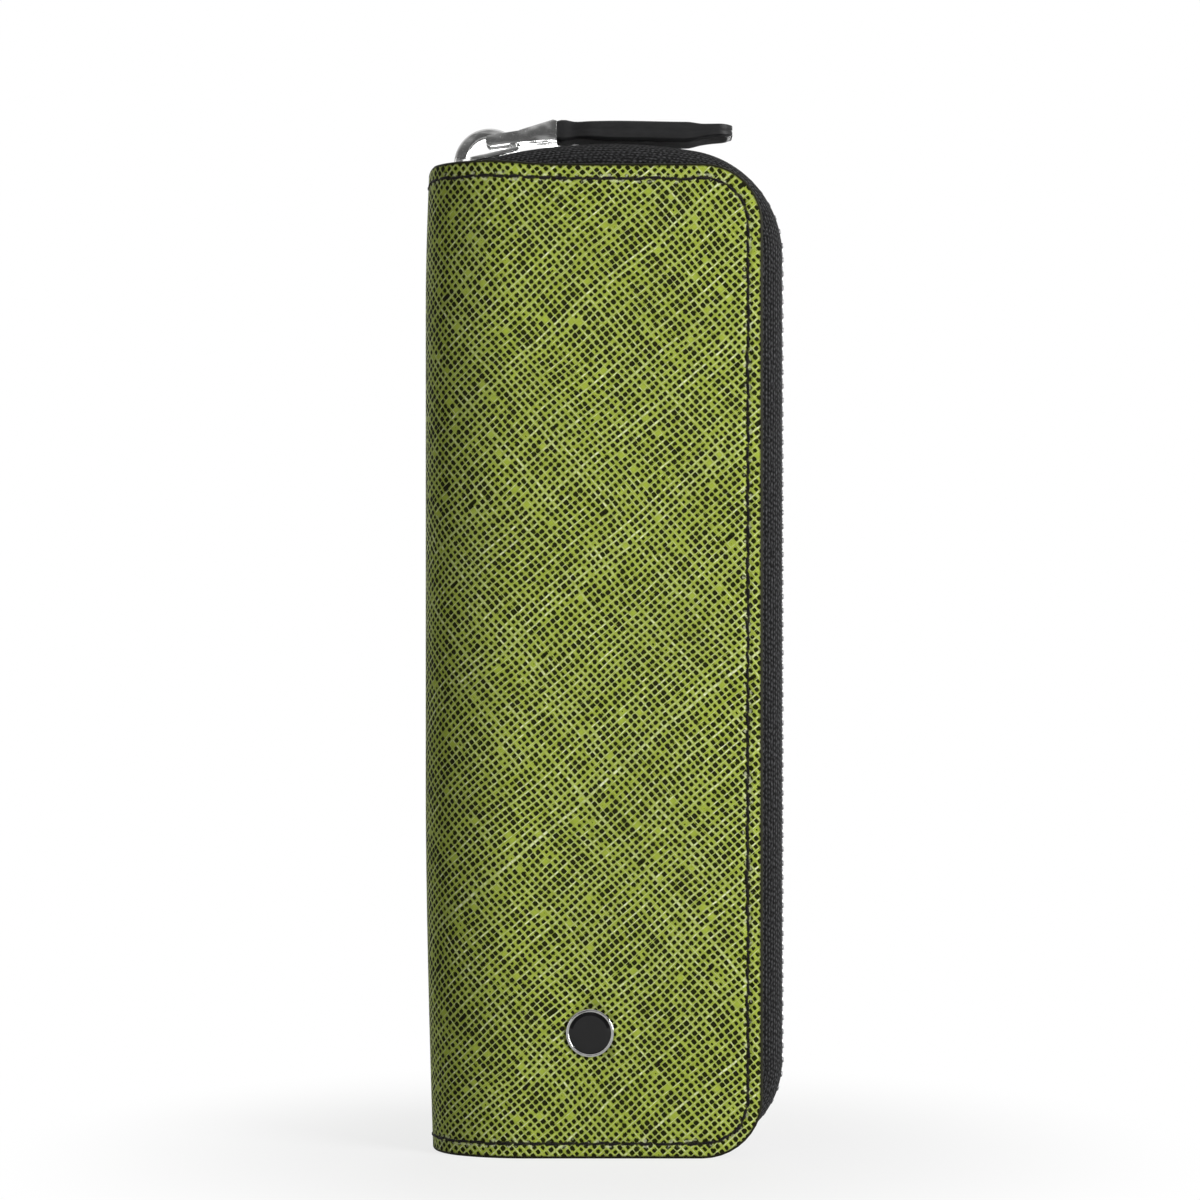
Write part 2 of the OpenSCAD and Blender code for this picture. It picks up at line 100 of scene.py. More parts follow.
class CaseSizes(bpy.types.PropertyGroup):
    """Sizes of the case that its looks are built from"""

    leather: length("Leather", "Thickness of the outer leather", 1.2 * MM)
    corner: length("Corner radius", "Radius of the covers' free corners", 10.3 * MM)
    spine: length("Spine radius", "Radius of the spine's outermost line", 10 * MM)
    edge: length("Leather edge", "Radius of the leather's rounded edge", 0.4 * MM)
    stitch: length("Stitch pitch", "Spacing of the stitches", 2.7 * MM)
    stitch_inset: length("Stitch inset", "Distance of the seam from the leather's edge", 2.6 * MM)
    thread: length("Thread", "Thickness of the sewing thread", 0.46 * MM)
    grain_rising: length("Rising grain", "Spacing of the ridges that rise to the right", 1.08 * MM)
    grain_falling: length("Falling grain", "Spacing of the ridges that fall to the right", 1.05 * MM)


class CaseColours(bpy.types.PropertyGroup):
    """Colours of the case's materials"""

    ridge: colour("Ridges", "Green of the leather's raised grain", "95A43A")
    # The crest colour is a painted highlight, laid on the grain's crests and in flecks beside the seam.
    crest: colour("Crests", "Rubbed green on the crests of the grain", "DADFBA")
    pit: colour("Pits", "Near-black green in the grain's pits", "191C00")
    ink: colour("Edge ink", "Dark ink on the leather's cut edges", "18130C")
    thread: colour("Thread", "Sewing thread", "0E0B0A")
    black_leather: colour("Black leather", "Leather of the tab, sleeve, pocket and flap", "1B1B1C")
    tape: colour("Zip tape", "Woven tape of the zip", "212122")
    lining: colour("Lining", "Twill lining of the covers", "26262B")
    elastic: colour("Elastic", "Ribbed elastic of the pen loops", "232327")
    board: colour("Board", "Stiffening board between leather and lining", "5A564C")
    wadding: colour("Wadding", "Thin wadding under the lining", "B9B6AD")
    steel: colour("Steel", "Slider, bridge, clasp and emblem rim", "C9C9C8")
    teeth: colour("Teeth", "Zip teeth and stops", "8E8E90")
    enamel: colour("Enamel", "Disc of the emblem", "0C0C0D")


# ---- materials ----------------------------------------------------------


class Number:
    """A number inside a material: sums with it lay down Math nodes."""

    def __init__(self, graph, socket):
        self.graph = graph
        self.socket = socket

    def __add__(self, other):
        return self.graph.math("ADD", self, other)

    def __sub__(self, other):
        return self.graph.math("SUBTRACT", self, other)

    def __rsub__(self, other):
        return self.graph.math("SUBTRACT", other, self)

    def __mul__(self, other):
        return self.graph.math("MULTIPLY", self, other)

    def __truediv__(self, other):
        return self.graph.math("DIVIDE", self, other)

    def __rtruediv__(self, other):
        return self.graph.math("DIVIDE", other, self)

    def __pow__(self, other):
        return self.graph.math("POWER", self, other)

    def __abs__(self):
        return self.graph.math("ABSOLUTE", self)

    __radd__ = __add__
    __rmul__ = __mul__


class Graph:
    """The nodes of one material, or of the world."""

    def __init__(self, owner):
        owner.use_nodes = True
        self.owner = owner
        self.tree = owner.node_tree
        self.tree.nodes.clear()

    def node(self, kind, settings, sockets, output=0):
        """Adds a node: its settings first, then its sockets, and gives back one output."""
        made = self.tree.nodes.new(kind)
        for name, value in settings.items():
            setattr(made, name, value)
        for name, value in sockets.items():
            socket = next((s for s in made.inputs if s.identifier == name), None)
            socket = socket or made.inputs[name]
            if isinstance(value, Number):
                self.tree.links.new(value.socket, socket)
            elif socket.type == "RGBA" and len(value) == 3:
                socket.default_value = (*value, 1)
            else:
                socket.default_value = value
        found = next((s for s in made.outputs if s.identifier == output), None)
        if not made.outputs:
            return None
        return Number(self, found or made.outputs[output])

    def math(self, operation, a, b=0.0):
        """One Math node on one number or two."""
        return self.node("ShaderNodeMath", {"operation": operation}, {"Value": a, "Value_001": b})

    def floor(self, a):
        """The whole number at or below a."""
        return self.math("FLOOR", a)

    def smooth(self, a, low, high):
        """0 below low and 1 above high, with a soft step between; low may be the larger."""
        return self.node(
            "ShaderNodeMapRange",
            {"interpolation_type": "SMOOTHSTEP"},
            {"Value": a, "From Min": low, "From Max": high},
        )

    def mix(self, factor, a, b):
        """Colour a where factor is 0, colour b where it is 1."""
        return self.node(
            "ShaderNodeMix",
            {"data_type": "RGBA"},
            {"Factor_Float": factor, "A_Color": a, "B_Color": b},
            "Result_Color",
        )

    def tint(self, base, amount):
        """A colour made lighter or darker by a factor."""
        return self.node(
            "ShaderNodeVectorMath", {"operation": "SCALE"}, {"Vector": base, "Scale": amount}, "Vector"
        )

    def join(self, x, y, z=0.0):
        """A vector made of three numbers."""
        return self.node("ShaderNodeCombineXYZ", {}, {"X": x, "Y": y, "Z": z})

    def split(self, vector):
        """The three numbers of a vector."""
        return [self.node("ShaderNodeSeparateXYZ", {}, {"Vector": vector}, axis) for axis in "XYZ"]

    def uv(self):
        """Millimetres along the surface."""
        return self.node("ShaderNodeUVMap", {"uv_map": "UVMap"}, {})

    def place(self):
        """Millimetres in the object's own space."""
        spot = self.node("ShaderNodeTexCoord", {}, {}, "Object")
        return self.tint(spot, 1 / MM)

    def noise(self, vector, scale, detail=2.0, roughness=0.5):
        """Soft noise about 0.5, with scale waves to a unit of the vector."""
        return self.node(
            "ShaderNodeTexNoise",
            {"noise_dimensions": "3D"},
            {"Vector": vector, "Scale": scale, "Detail": detail, "Roughness": roughness},
            "Fac",
        )

    def stretched(self, vector, stretch, scale, detail):
        """Noise on a vector whose three numbers are each multiplied first."""
        scaled = self.node("ShaderNodeMapping", {}, {"Vector": vector, "Scale": stretch})
        return self.noise(scaled, scale, detail)

    def chance(self, x, y, seed):
        """A random number from 0 to 1 that is the same for the same x and y."""
        return self.node(
            "ShaderNodeTexWhiteNoise", {"noise_dimensions": "3D"}, {"Vector": self.join(x, y, seed)}, "Value"
        )

    def cells(self, vector, scale, feature="F1"):
        """The distance to the nearest of some scattered points, or to the edge between two."""
        return self.node(
            "ShaderNodeTexVoronoi", {"feature": feature}, {"Vector": vector, "Scale": scale}, "Distance"
        )

    def wave(self, a, pitch):
        """A sine from 0 to 1 with the given pitch."""
        return self.math("SINE", a * (2 * math.pi / pitch)) * 0.5 + 0.5

    def relief(self, height, depth, strength=1.0):
        """A bumped normal: height 1 stands depth metres over height 0."""
        return self.node(
            "ShaderNodeBump", {}, {"Strength": strength, "Distance": depth, "Height": height}, "Normal"
        )

    def ray(self, kind):
        """1 for rays of one kind, as the Light Path node names them."""
        return self.node("ShaderNodeLightPath", {}, {}, kind)

    def mirrored(self):
        """1 for rays that come from a mirror or through glass."""
        return self.ray("Is Glossy Ray") + self.ray("Is Transmission Ray")

    def finish(self, varying, fixed):
        """The material's shader, with its varying sockets and those fixed all over."""
        shader = self.node("ShaderNodeBsdfPrincipled", {}, {**fixed, **varying}, "BSDF")
        self.node("ShaderNodeOutputMaterial", {}, {"Surface": shader})
        return self.owner


def graph(name):
    """The empty nodes of a new material."""
    return Graph(bpy.data.materials.new(name))


def outline_distance(g, u, v, half_u, half_v, radius):
    """Millimetres from a rounded rectangle's outline, less than 0 inside it."""
    over_u = abs(u) - (half_u - radius)
    over_v = abs(v - half_v) - (half_v - radius)
    out_u = g.math("MAXIMUM", over_u, 0.0)
    out_v = g.math("MAXIMUM", over_v, 0.0)
    outside = (out_u * out_u + out_v * out_v) ** 0.5
    inside = g.math("MINIMUM", g.math("MAXIMUM", over_u, over_v), 0.0)
    return outside + inside - radius


def crosshatch_leather(colours, sizes, half_width, height):
    """Two families of slanting ridges with rounded near-black pits between them.

    Each family is a ramp across its ridges, bent and unevenly spaced by noise. A pit
    fills the cell between four ridges. Its size, and whether a ridge between two pits
    is missing, are random for each cell.
    """
    g = graph("crosshatch_leather")
    uv = g.uv()
    u, v, _ = g.split(uv)
    rising = math.radians(40.5)
    falling = math.radians(49.5)
    jitter = 0.13      # how far pits stray from their cells' middles, of a ridge's spacing

    def family(turn, lean, pitch, seed):
        """A number that grows by one from each ridge to the next."""
        bend = g.noise(g.join(u, v, seed), 0.05, 1.0) * 1.6 + g.noise(g.join(u, v, seed + 5), 0.3, 1.0) * 0.2
        ramp = (v * math.cos(turn) + u * (lean * math.sin(turn))) / (pitch / MM) + bend
        uneven = g.node(
            "ShaderNodeTexNoise", {"noise_dimensions": "1D"}, {"W": ramp * 0.63 + seed, "Detail": 1.0}, "Fac"
        )
        return ramp + uneven * 0.4

    a = family(rising, -1, sizes.grain_rising, 3.0)
    b = family(falling, 1, sizes.grain_falling, 11.0)
    cell_a, cell_b = g.floor(a), g.floor(b)
    from_a = abs(a - cell_a - 0.5)
    from_b = abs(b - cell_b - 0.5)
    luck = g.chance(cell_a, cell_b, 1.0)
    shift_a = (g.chance(cell_a, cell_b, 4.0) - 0.5) * jitter
    shift_b = (g.chance(cell_a, cell_b, 5.0) - 0.5) * jitter

    # A pit is a rounded square, (a^2.5 + b^2.5)^0.4. A few are filled, and gap_b joins a few pairs.
    gap_b = g.smooth(g.chance(cell_a, g.floor(b + 0.5), 2.0), 0.004, 0.002)
    reach = (luck * 0.34 + 0.78) * g.smooth(luck, 0.012, 0.03)
    wide_a = abs(a - cell_a - 0.5 + shift_a) / (reach * 0.35 + 0.02)
    wide_b = abs(b - cell_b - 0.5 + shift_b) * (1 - gap_b) / (reach * 0.33 + 0.02)
    pit_distance = (wide_a**2.5 + wide_b**2.5) ** 0.4
    fray = g.noise(uv, 4.2, 2.0) - 0.5
    pit = g.smooth(pit_distance + fray * 0.3, 1.14, 0.86)

    # Painted highlight: the crests are lightened pale. Each stretch of ridge between two crossings gets more
    # or less of it by chance.
    patch_noise = g.noise(uv, 0.9, 3.0)
    over = g.smooth(g.noise(g.join(u, v, 40.0), 0.16, 2.0), 0.36, 0.60)
    highlight_chance_a = g.chance(g.floor(a + 0.5), cell_b, 8.0) * g.smooth(from_b, 0.5, 0.3)
    highlight_chance_b = g.chance(cell_a, g.floor(b + 0.5), 9.0) * g.smooth(from_a, 0.5, 0.3)
    crest_a = g.smooth(from_a, 0.40, 0.48) * (over * 0.5 + 0.45) * (highlight_chance_a * 1.1 + 0.40)
    crest_b = g.smooth(from_b, 0.40, 0.48) * (0.75 - over * 0.6) * (highlight_chance_b * 1.1 + 0.30)
    crest = g.math("MAXIMUM", crest_a, crest_b)
    broad = g.noise(uv, 0.06, 2.0)
    shade = broad * 0.24 + patch_noise * 0.34 + 0.70
    # pale is the painted highlight on the crests; shade is only a random tone of the green.
    pale = crest * g.smooth(patch_noise, 0.25, 0.62) * 0.9
    green = g.tint(g.mix(pale, colours.ridge, colours.crest), shade)
    hollow = g.mix(g.chance(cell_a, cell_b, 7.0) * 0.5, colours.pit, colours.ink)
    skin = g.mix(pit, green, hollow)

    # Along the seam the leather dips, with flecks of painted highlight beside it and a ragged line of
    # painted shade in its groove. Its outer rim is inked too.
    edge = outline_distance(g, u, v, half_width / MM, height / MM / 2, sizes.corner / MM)
    sway = (g.noise(uv, 0.45, 1.0) - 0.5) * 0.9
    from_seam = abs(edge + sizes.stitch_inset / MM + sway)
    ragged = from_seam + (g.noise(uv, 1.9, 2.0) - 0.5) * 0.9
    dip = g.smooth(from_seam, 1.0, 0.1)
    rim = g.smooth(edge, -0.75, -0.3)
    highlight_flecks = g.smooth(g.noise(uv, 0.8, 2.0), 0.54, 0.62) * g.smooth(ragged, 0.85, 0.5)
    fleck_highlighted = g.mix(highlight_flecks * 0.45, skin, colours.crest)
    # A ragged line of painted shade darkens the seam's groove.
    shaded = g.mix(g.smooth(ragged, 0.34, 0.16) * 0.95, fleck_highlighted, colours.ink)
    height_map = (1 - pit) * 1.0 + crest * 0.4 + fray * 0.12 - dip * 1.5
    return g.finish(
        {
            "Base Color": g.mix(rim, shaded, colours.ink),
            "Roughness": pit * 0.2 + patch_noise * 0.16 + 0.42,
            "Coat Weight": (1 - pit) * 0.2,
            "Normal": g.relief(height_map, 0.12 * MM),
        },
        {"Specular IOR Level": 0.07, "Coat Roughness": 0.35},
    )


def edge_ink(colours):
    """Dark ink on a cut edge, streaked and a little uneven."""
    g = graph("edge_ink")
    spot = g.place()
    streak = g.noise(spot, 1.4, 3.0)
    return g.finish(
        {
            "Base Color": g.tint(g.mix(streak, colours.ink, colours.pit), streak * 0.8 + 0.6),
            "Roughness": streak * 0.3 + 0.35,
            "Normal": g.relief(streak, 0.08 * MM),
        },
        {"Specular IOR Level": 0.12},
    )


def flesh_side(colours):
    """The green leather's dark underside, matt with short fibres."""
    g = graph("leather_flesh_side")
    spot = g.place()
    fibre = g.noise(spot, 4.0, 4.0, 0.7)
    cloud = g.noise(spot, 0.2, 2.0)
    return g.finish(
        {
            "Base Color": g.tint(g.mix(fibre * 0.5, colours.ink, colours.board), cloud * 0.5 + 0.6),
            "Roughness": 0.95 - fibre * 0.1,
            "Normal": g.relief(fibre, 0.1 * MM),
        },
        {"Specular IOR Level": 0.1, "Sheen Weight": 0.1},
    )


def black_leather(colours):
    """Small pebbled cells with fine creases between them."""
    g = graph("black_leather")
    spot = g.place()
    pebble = 1.5      # cells to a millimetre
    warped = g.node(
        "ShaderNodeVectorMath",
        {"operation": "ADD"},
        {"Vector": spot, "Vector_001": g.join(g.noise(spot, 0.8) * 0.9, g.noise(spot, 0.7) * 0.9)},
    )
    cell = g.cells(warped, pebble)
    crease = g.cells(warped, pebble, "DISTANCE_TO_EDGE")
    worn = g.noise(spot, 0.25, 3.0)
    height = g.smooth(crease, 0.0, 0.16) * 0.8 + cell * 0.3
    return g.finish(
        {
            "Base Color": g.tint(colours.black_leather, worn * 0.8 + cell * 0.3 + 0.5),
            "Roughness": worn * 0.18 + 0.32,
            "Normal": g.relief(height, 0.06 * MM, 0.8),
        },
        {"Specular IOR Level": 0.45, "Coat Weight": 0.1, "Coat Roughness": 0.3},
    )


def woven(name, base, across, along, lean, depth, sheen=0.15, contrast=0.8):
    """Yarns over and under: a ripple along each yarn, stepped on from row to row.

    across is the spacing of the yarns and along the length of a ripple, in millimetres.
    lean is how far each row steps on, of the spacing.
    """
    g = graph(name)
    uv = g.uv()
    u, v, _ = g.split(uv)
    row = g.floor(v / across)
    yarn = g.wave(v, across)
    slip = g.noise(g.join(u, row * 7.0), 0.5, 1.0) * along
    bead = g.wave(u + row * (across * lean) + slip, along)
    top = bead * yarn
    fuzz = g.noise(g.join(u, v * 1.8), 1.5, 2.0)
    cloud = g.noise(uv, 0.12, 2.0)
    height = yarn * 0.35 + top * 0.8 + fuzz * 0.5
    # top lightens the raised yarn tops: a painted highlight. cloud and fuzz are random tone.
    bright = cloud * 0.4 + 0.6 + (top * 0.6 - 0.15 + (fuzz - 0.5) * 2.4) * contrast
    return g.finish(
        {
            "Base Color": g.tint(base, g.math("MAXIMUM", bright, 0.15)),
            "Roughness": 0.95 - top * 0.3,
            "Normal": g.relief(height, depth),
        },
        {"Specular IOR Level": 0.2, "Sheen Weight": sheen, "Sheen Roughness": 0.5},
    )


def thread_fibre(colours):
    """A laid thread: its strands run slanting round it."""
    g = graph("sewing_thread")
    u, v, _ = g.split(g.uv())
    strand = g.wave(u + v * 0.8, 0.42)
    fuzz = g.noise(g.place(), 5.0, 2.0)
    return g.finish(
        {
            "Base Color": g.tint(colours.thread, strand * 0.9 + fuzz * 0.8 + 0.3),
            "Roughness": 0.75 - strand * 0.2,
            "Normal": g.relief(strand * 0.7 + fuzz * 0.3, 0.06 * MM),
        },
        {"Specular IOR Level": 0.15, "Sheen Weight": 0.03},
    )


def pressed_board(colours):
    """Grey board with long fibres."""
    g = graph("pressed_board")
    spot = g.place()
    fibre = g.stretched(spot, (1.0, 1.0, 0.25), 2.2, 4.0)
    speck = g.smooth(g.noise(spot, 5.0, 2.0), 0.62, 0.75)
    return g.finish(
        {
            "Base Color": g.tint(g.mix(speck, colours.board, colours.ink), fibre * 0.9 + 0.5),
            "Roughness": 0.95 - fibre * 0.15,
            "Normal": g.relief(fibre, 0.1 * MM),
        },
        {"Specular IOR Level": 0.2},
    )


def soft_wadding(colours):
    """Pale loose fibre in small tufts."""
    g = graph("soft_wadding")
    spot = g.place()
    tuft = g.noise(spot, 1.6, 5.0, 0.7)
    return g.finish(
        {
            "Base Color": g.tint(colours.wadding, tuft * 0.6 + 0.65),
            "Roughness": 1.0 - tuft * 0.1,
            "Normal": g.relief(tuft, 0.3 * MM),
        },
        {"Specular IOR Level": 0.1, "Sheen Weight": 0.3},
    )


def metal(name, base, rough, grain, tarnish):
    """Plated metal with fine polishing lines, small marks and a little tarnish.

    rough is the roughness between the lines, grain what a line adds to it, and tarnish
    how much darker the clouds and marks are.
    """
    g = graph(name)
    spot = g.place()
    lines = g.stretched(spot, (0.3, 6.0, 3.0), 2.0, 3.0)
    cloud = g.noise(spot, 0.5, 3.0)
    mark = g.smooth(g.noise(spot, 3.4, 4.0, 0.7), 0.60, 0.72)
    dent = g.noise(spot, 0.28, 1.0)
    return g.finish(
        {
            "Base Color": g.tint(base, 1.06 - cloud * tarnish - mark * tarnish * 0.8),
            "Roughness": rough + lines * grain + mark * 0.12,
            "Normal": g.relief(lines * 0.007 + mark * 0.005 + dent * 0.45, MM),
        },
        {"Metallic": 1.0, "Specular IOR Level": 0.5},
    )


def black_enamel(colours):
    """Glossy black with a faint ripple and a few specks of dust."""
    g = graph("black_enamel")
    spot = g.place()
    ripple = g.noise(spot, 0.6, 2.0)
    dust = g.smooth(g.noise(spot, 7.0, 2.0), 0.66, 0.74)
    return g.finish(
        {
            "Base Color": g.tint(colours.enamel, ripple * 0.8 + dust * 1.5 + 0.5),
            "Roughness": dust * 0.25 + 0.07,
            "Normal": g.relief(ripple, 0.03 * MM),
        },
        {"Specular IOR Level": 0.3, "Coat Weight": 0.3, "Coat Roughness": 0.03},
    )


# ---- lattices -----------------------------------------------------------


class Shell:
    """Lattices of points that become one closed mesh."""

    def __init__(self):
        self.points, self.uvs, self.quads, self.slots = [], [], [], []
        self.count = 0

    def add(self, points, uv, slot=0):
        """A grid of points, or a stack of grids, whose neighbours are joined by quads.

        uv holds two numbers for each point, and slot is one for all or one for each row.
        """
        points, uv = np.asarray(points, float), np.asarray(uv, float)
        if points.ndim == 3:
            points, uv = points[None], uv[None]
        stack, rows, columns = points.shape[:3]
        index = np.arange(stack * rows * columns).reshape(stack, rows, columns) + self.count
        corners = (index[:, :-1, :-1], index[:, :-1, 1:], index[:, 1:, 1:], index[:, 1:, :-1])
        self.quads.append(np.stack(corners, -1).reshape(-1, 4))
        row_slot = np.broadcast_to(np.asarray(slot), (rows - 1,))
        self.slots.append(np.tile(np.repeat(row_slot, columns - 1), stack))
        self.points.append(points.reshape(-1, 3))
        self.uvs.append(uv.reshape(-1, 2))
        self.count += stack * rows * columns

    def build(self, name, *materials, crease=50):
        """The mesh, its seams welded and its faces outwards, smooth up to the crease angle."""
        points, uvs = np.concatenate(self.points), np.concatenate(self.uvs)
        quads = np.concatenate(self.quads)
        mesh = bpy.data.meshes.new(name)
        mesh.from_pydata(points.tolist(), [], quads.tolist())
        mesh.uv_layers.new(name="UVMap").data.foreach_set("uv", uvs[quads.ravel()].ravel())
        mesh.polygons.foreach_set("material_index", np.concatenate(self.slots).astype(np.int32))
        for material in materials:
            mesh.materials.append(material)
        weld(mesh, True)
        return show(name, mesh, crease)


def weld(mesh, outwards):
    """Merges points that coincide, and on a new mesh turns every face outwards."""
    work = bmesh.new()
    work.from_mesh(mesh)
    bmesh.ops.remove_doubles(work, verts=work.verts, dist=4e-7)
    bmesh.ops.dissolve_degenerate(work, edges=work.edges, dist=2e-7)
    if outwards:
        bmesh.ops.recalc_face_normals(work, faces=work.faces)
    work.to_mesh(mesh)
    work.free()


def show(name, mesh, crease):
    """A new object of a mesh, smooth apart from edges past the crease angle in degrees."""
    mesh.shade_smooth()
    mesh.set_sharp_from_angle(angle=math.radians(crease))
    made = bpy.data.objects.new(name, mesh)
    bpy.context.scene.collection.objects.link(made)
    return made


def settle(piece):
    """Makes a piece's modifiers part of its mesh."""
    graph_now = bpy.context.evaluated_depsgraph_get()
    mesh = bpy.data.meshes.new_from_object(piece.evaluated_get(graph_now))
    piece.modifiers.clear()
    piece.data = mesh


def softened(node, name, width, material, steps, crease=35):
    """A copy of a solid part with its edges rounded: flat faces made whole, then bevelled."""
    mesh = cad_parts[node].data.copy()
    weld(mesh, False)
    work = bmesh.new()
    work.from_mesh(mesh)
    bmesh.ops.dissolve_limit(
        work, angle_limit=math.radians(1), verts=work.verts, edges=work.edges, use_dissolve_boundaries=False
    )
    work.to_mesh(mesh)
    work.free()
    mesh.materials.clear()
    mesh.materials.append(material)
    mesh.polygons.foreach_set("material_index", np.zeros(len(mesh.polygons), np.int32))
    piece = show(name, mesh, 180)
    bevel = piece.modifiers.new("rounded_edges", "BEVEL")
    bevel.width = width
    bevel.segments = steps
    bevel.limit_method = "ANGLE"
    bevel.angle_limit = math.radians(30)
    bevel.miter_outer = "MITER_ARC"
    settle(piece)
    piece.data.set_sharp_from_angle(angle=math.radians(crease))
    return piece


def flat_uv(s, z):
    """A UV map of two lengths, in millimetres."""
    return np.stack([s / MM, z / MM], -1)


def places(low, high, step, extra=()):
    """Even places from low to high, about step apart, with the extra ones between them."""
    even = np.linspace(low, high, max(2, int(round((high - low) / step)) + 1))
    inner = [x for x in extra if low < x < high]
    return np.unique(np.round(np.concatenate([even, inner]), 7))


def rounded_ring(across, up, reach, steps=10):
    """A closed rounded rectangle round the grid of across and up.

    Its sides lie reach outside the grid, and its corners are quarter circles about the
    grid's corners. reach may be a column of several.
    """
    reach = np.atleast_1d(reach).reshape(-1, 1)
    turn = np.linspace(0, math.pi / 2, steps + 1)
    left, right, low, high = across[0], across[-1], up[0], up[-1]
    sin, cos = reach * np.sin(turn), reach * np.cos(turn)
    still = 0 * reach
    s = [across + still, right + sin, right + reach + 0 * up, right + cos]
    z = [low - reach + 0 * across, low - cos, up + still, high + sin]
    s += [across[::-1] + still, left - sin, left - reach + 0 * up, left - cos]
    z += [high + reach + 0 * across, high + cos, up[::-1] + still, low - sin]
    s, z = np.concatenate(s, 1), np.concatenate(z, 1)
    return np.concatenate([s, s[:, :1]], 1), np.concatenate([z, z[:, :1]], 1)


def rounded_rim(radius, thickness, edge, layers=1, groove=0.0):
    """Insets and depths down a sheet's rim, from its upper face to its lower one.

    Each layer is round at both arrises, with radius edge, and layers meet in a groove.
    """
    turn = np.linspace(0, math.pi / 2, 4)
    inset_out, depth_out = edge * (1 - np.sin(turn)), edge * (1 - np.cos(turn))
    layer = thickness / layers
    inset, depth = [np.linspace(radius, edge, 4)[:-1]], [np.zeros(3)]
    for i in range(layers):
        top = groove if i else edge
        bottom = groove if i < layers - 1 else edge
        inset += [inset_out * top / edge, inset_out[::-1] * bottom / edge]
        depth += [i * layer + depth_out, (i + 1) * layer - depth_out[::-1]]
    inset.append(np.linspace(edge, radius, 4)[1:])
    depth.append(np.full(3, thickness))
    return np.concatenate(inset), np.concatenate(depth)


def sheet(name, box, radius, thickness, edge, place, materials, step=5 * MM, bends=(), rim=None):
    """A sheet with rounded corners and a rounded rim, carried onto a surface by place(s, z, depth).

    box is its low and high s, then its low and high z. Its rings run from the flat inside
    of the upper face round the rim to the lower face, and a grid fills each face, closer
    at the bends, which are places along s. The second material, where given, is on the
    rim, and the third is on the lower face.
    """
    across = places(box[0] + radius, box[1] - radius, step, bends)
    up = places(box[2] + radius, box[3] - radius, step)
    inset, depth = rim or rounded_rim(radius, thickness, edge)
    s, z = rounded_ring(across, up, radius - inset)
    shell = Shell()
    rim_slot = 1 if len(materials) > 1 else 0
    under_slot = 2 if len(materials) > 2 else 0
    on_rim = (inset[:-1] < edge * 0.9) | (inset[1:] < edge * 0.9)
    face_slot = np.where(depth[:-1] > thickness / 2, under_slot, 0)
    shell.add(place(s, z, depth[:, None] + 0 * s), flat_uv(s, z), np.where(on_rim, rim_slot, face_slot))
    grid_s, grid_z = np.meshgrid(across, up)
    for level, slot in ((0, 0), (thickness, under_slot)):
        shell.add(place(grid_s, grid_z, level + 0 * grid_s), flat_uv(grid_s, grid_z), slot)
    return shell.build(name, *materials)


def even_spots(s, z, pitch):
    """Even spots about a pitch apart on the line through points: s, z and the way they point.

    The way is read towards the line's point 0.1 mm further on.
    """
    run = np.concatenate([[0], np.cumsum(np.hypot(np.diff(s), np.diff(z)))])
    count = int(round(run[-1] / pitch))
    at = (np.arange(count) + 0.5) * run[-1] / count
    here = np.interp(at, run, s), np.interp(at, run, z)
    ahead = np.interp(at + 0.1 * MM, run, s), np.interp(at + 0.1 * MM, run, z)
    return here[0], here[1], np.arctan2(ahead[1] - here[1], ahead[0] - here[0])


def along_ring(box, radius, inset, pitch):
    """Even spots along a rounded rectangle inset from a box."""
    across = np.linspace(box[0] + radius, box[1] - radius, 400)
    up = np.linspace(box[2] + radius, box[3] - radius, 400)
    s, z = rounded_ring(across, up, radius - inset, 60)
    return even_spots(s[0], z[0], pitch)


def stitches(name, spots, place, pitch, thickness, material):
    """Short rounded threads that dip into the leather at their ends.

    Along each stitch, t from -1 to 1, the thread's radius is r (1 - t^6)^0.5, its middle
    rises as 1 - t^4, and it leans a little to one side.
    """
    s, z, way = (x[:, None, None] for x in spots)
    t = np.linspace(-1, 1, 8)[None, :, None]
    turn = np.linspace(0, 2 * math.pi, 7)[None, None, :]
    half_share, lean = 0.45, 0.09      # half a stitch's length, of the pitch, and its slant
    draws = np.random.default_rng(5)
    wobble = draws.normal(0, 0.09 * MM, s.shape)
    tilt = lean + draws.normal(0, 0.06, s.shape)
    radius = thickness / 2 * np.sqrt(np.clip(1 - t**6, 0, 1))
    along = t * pitch * half_share
    side = along * tilt + wobble + radius * np.cos(turn)
    lift = thickness * (0.34 * (1 - t**4) - 0.36) + radius * np.sin(turn) * 0.8 + 0 * s
    on_s = s + along * np.cos(way) - side * np.sin(way)
    on_z = z + along * np.sin(way) + side * np.cos(way)
    shell = Shell()
    round_it = turn * thickness / 2 / MM
    uv = np.stack(np.broadcast_arrays(along / MM + 0 * lift, round_it + 0 * lift), -1)
    shell.add(place(on_s, on_z, -lift), uv)
    return shell.build(name, material)


def ease(x):
    """0 below 0 and 1 above 1, with a soft step between."""
    x = np.clip(x, 0, 1)
    return x * x * (3 - 2 * x)


# ---- the case's surfaces -----------------------------------------------


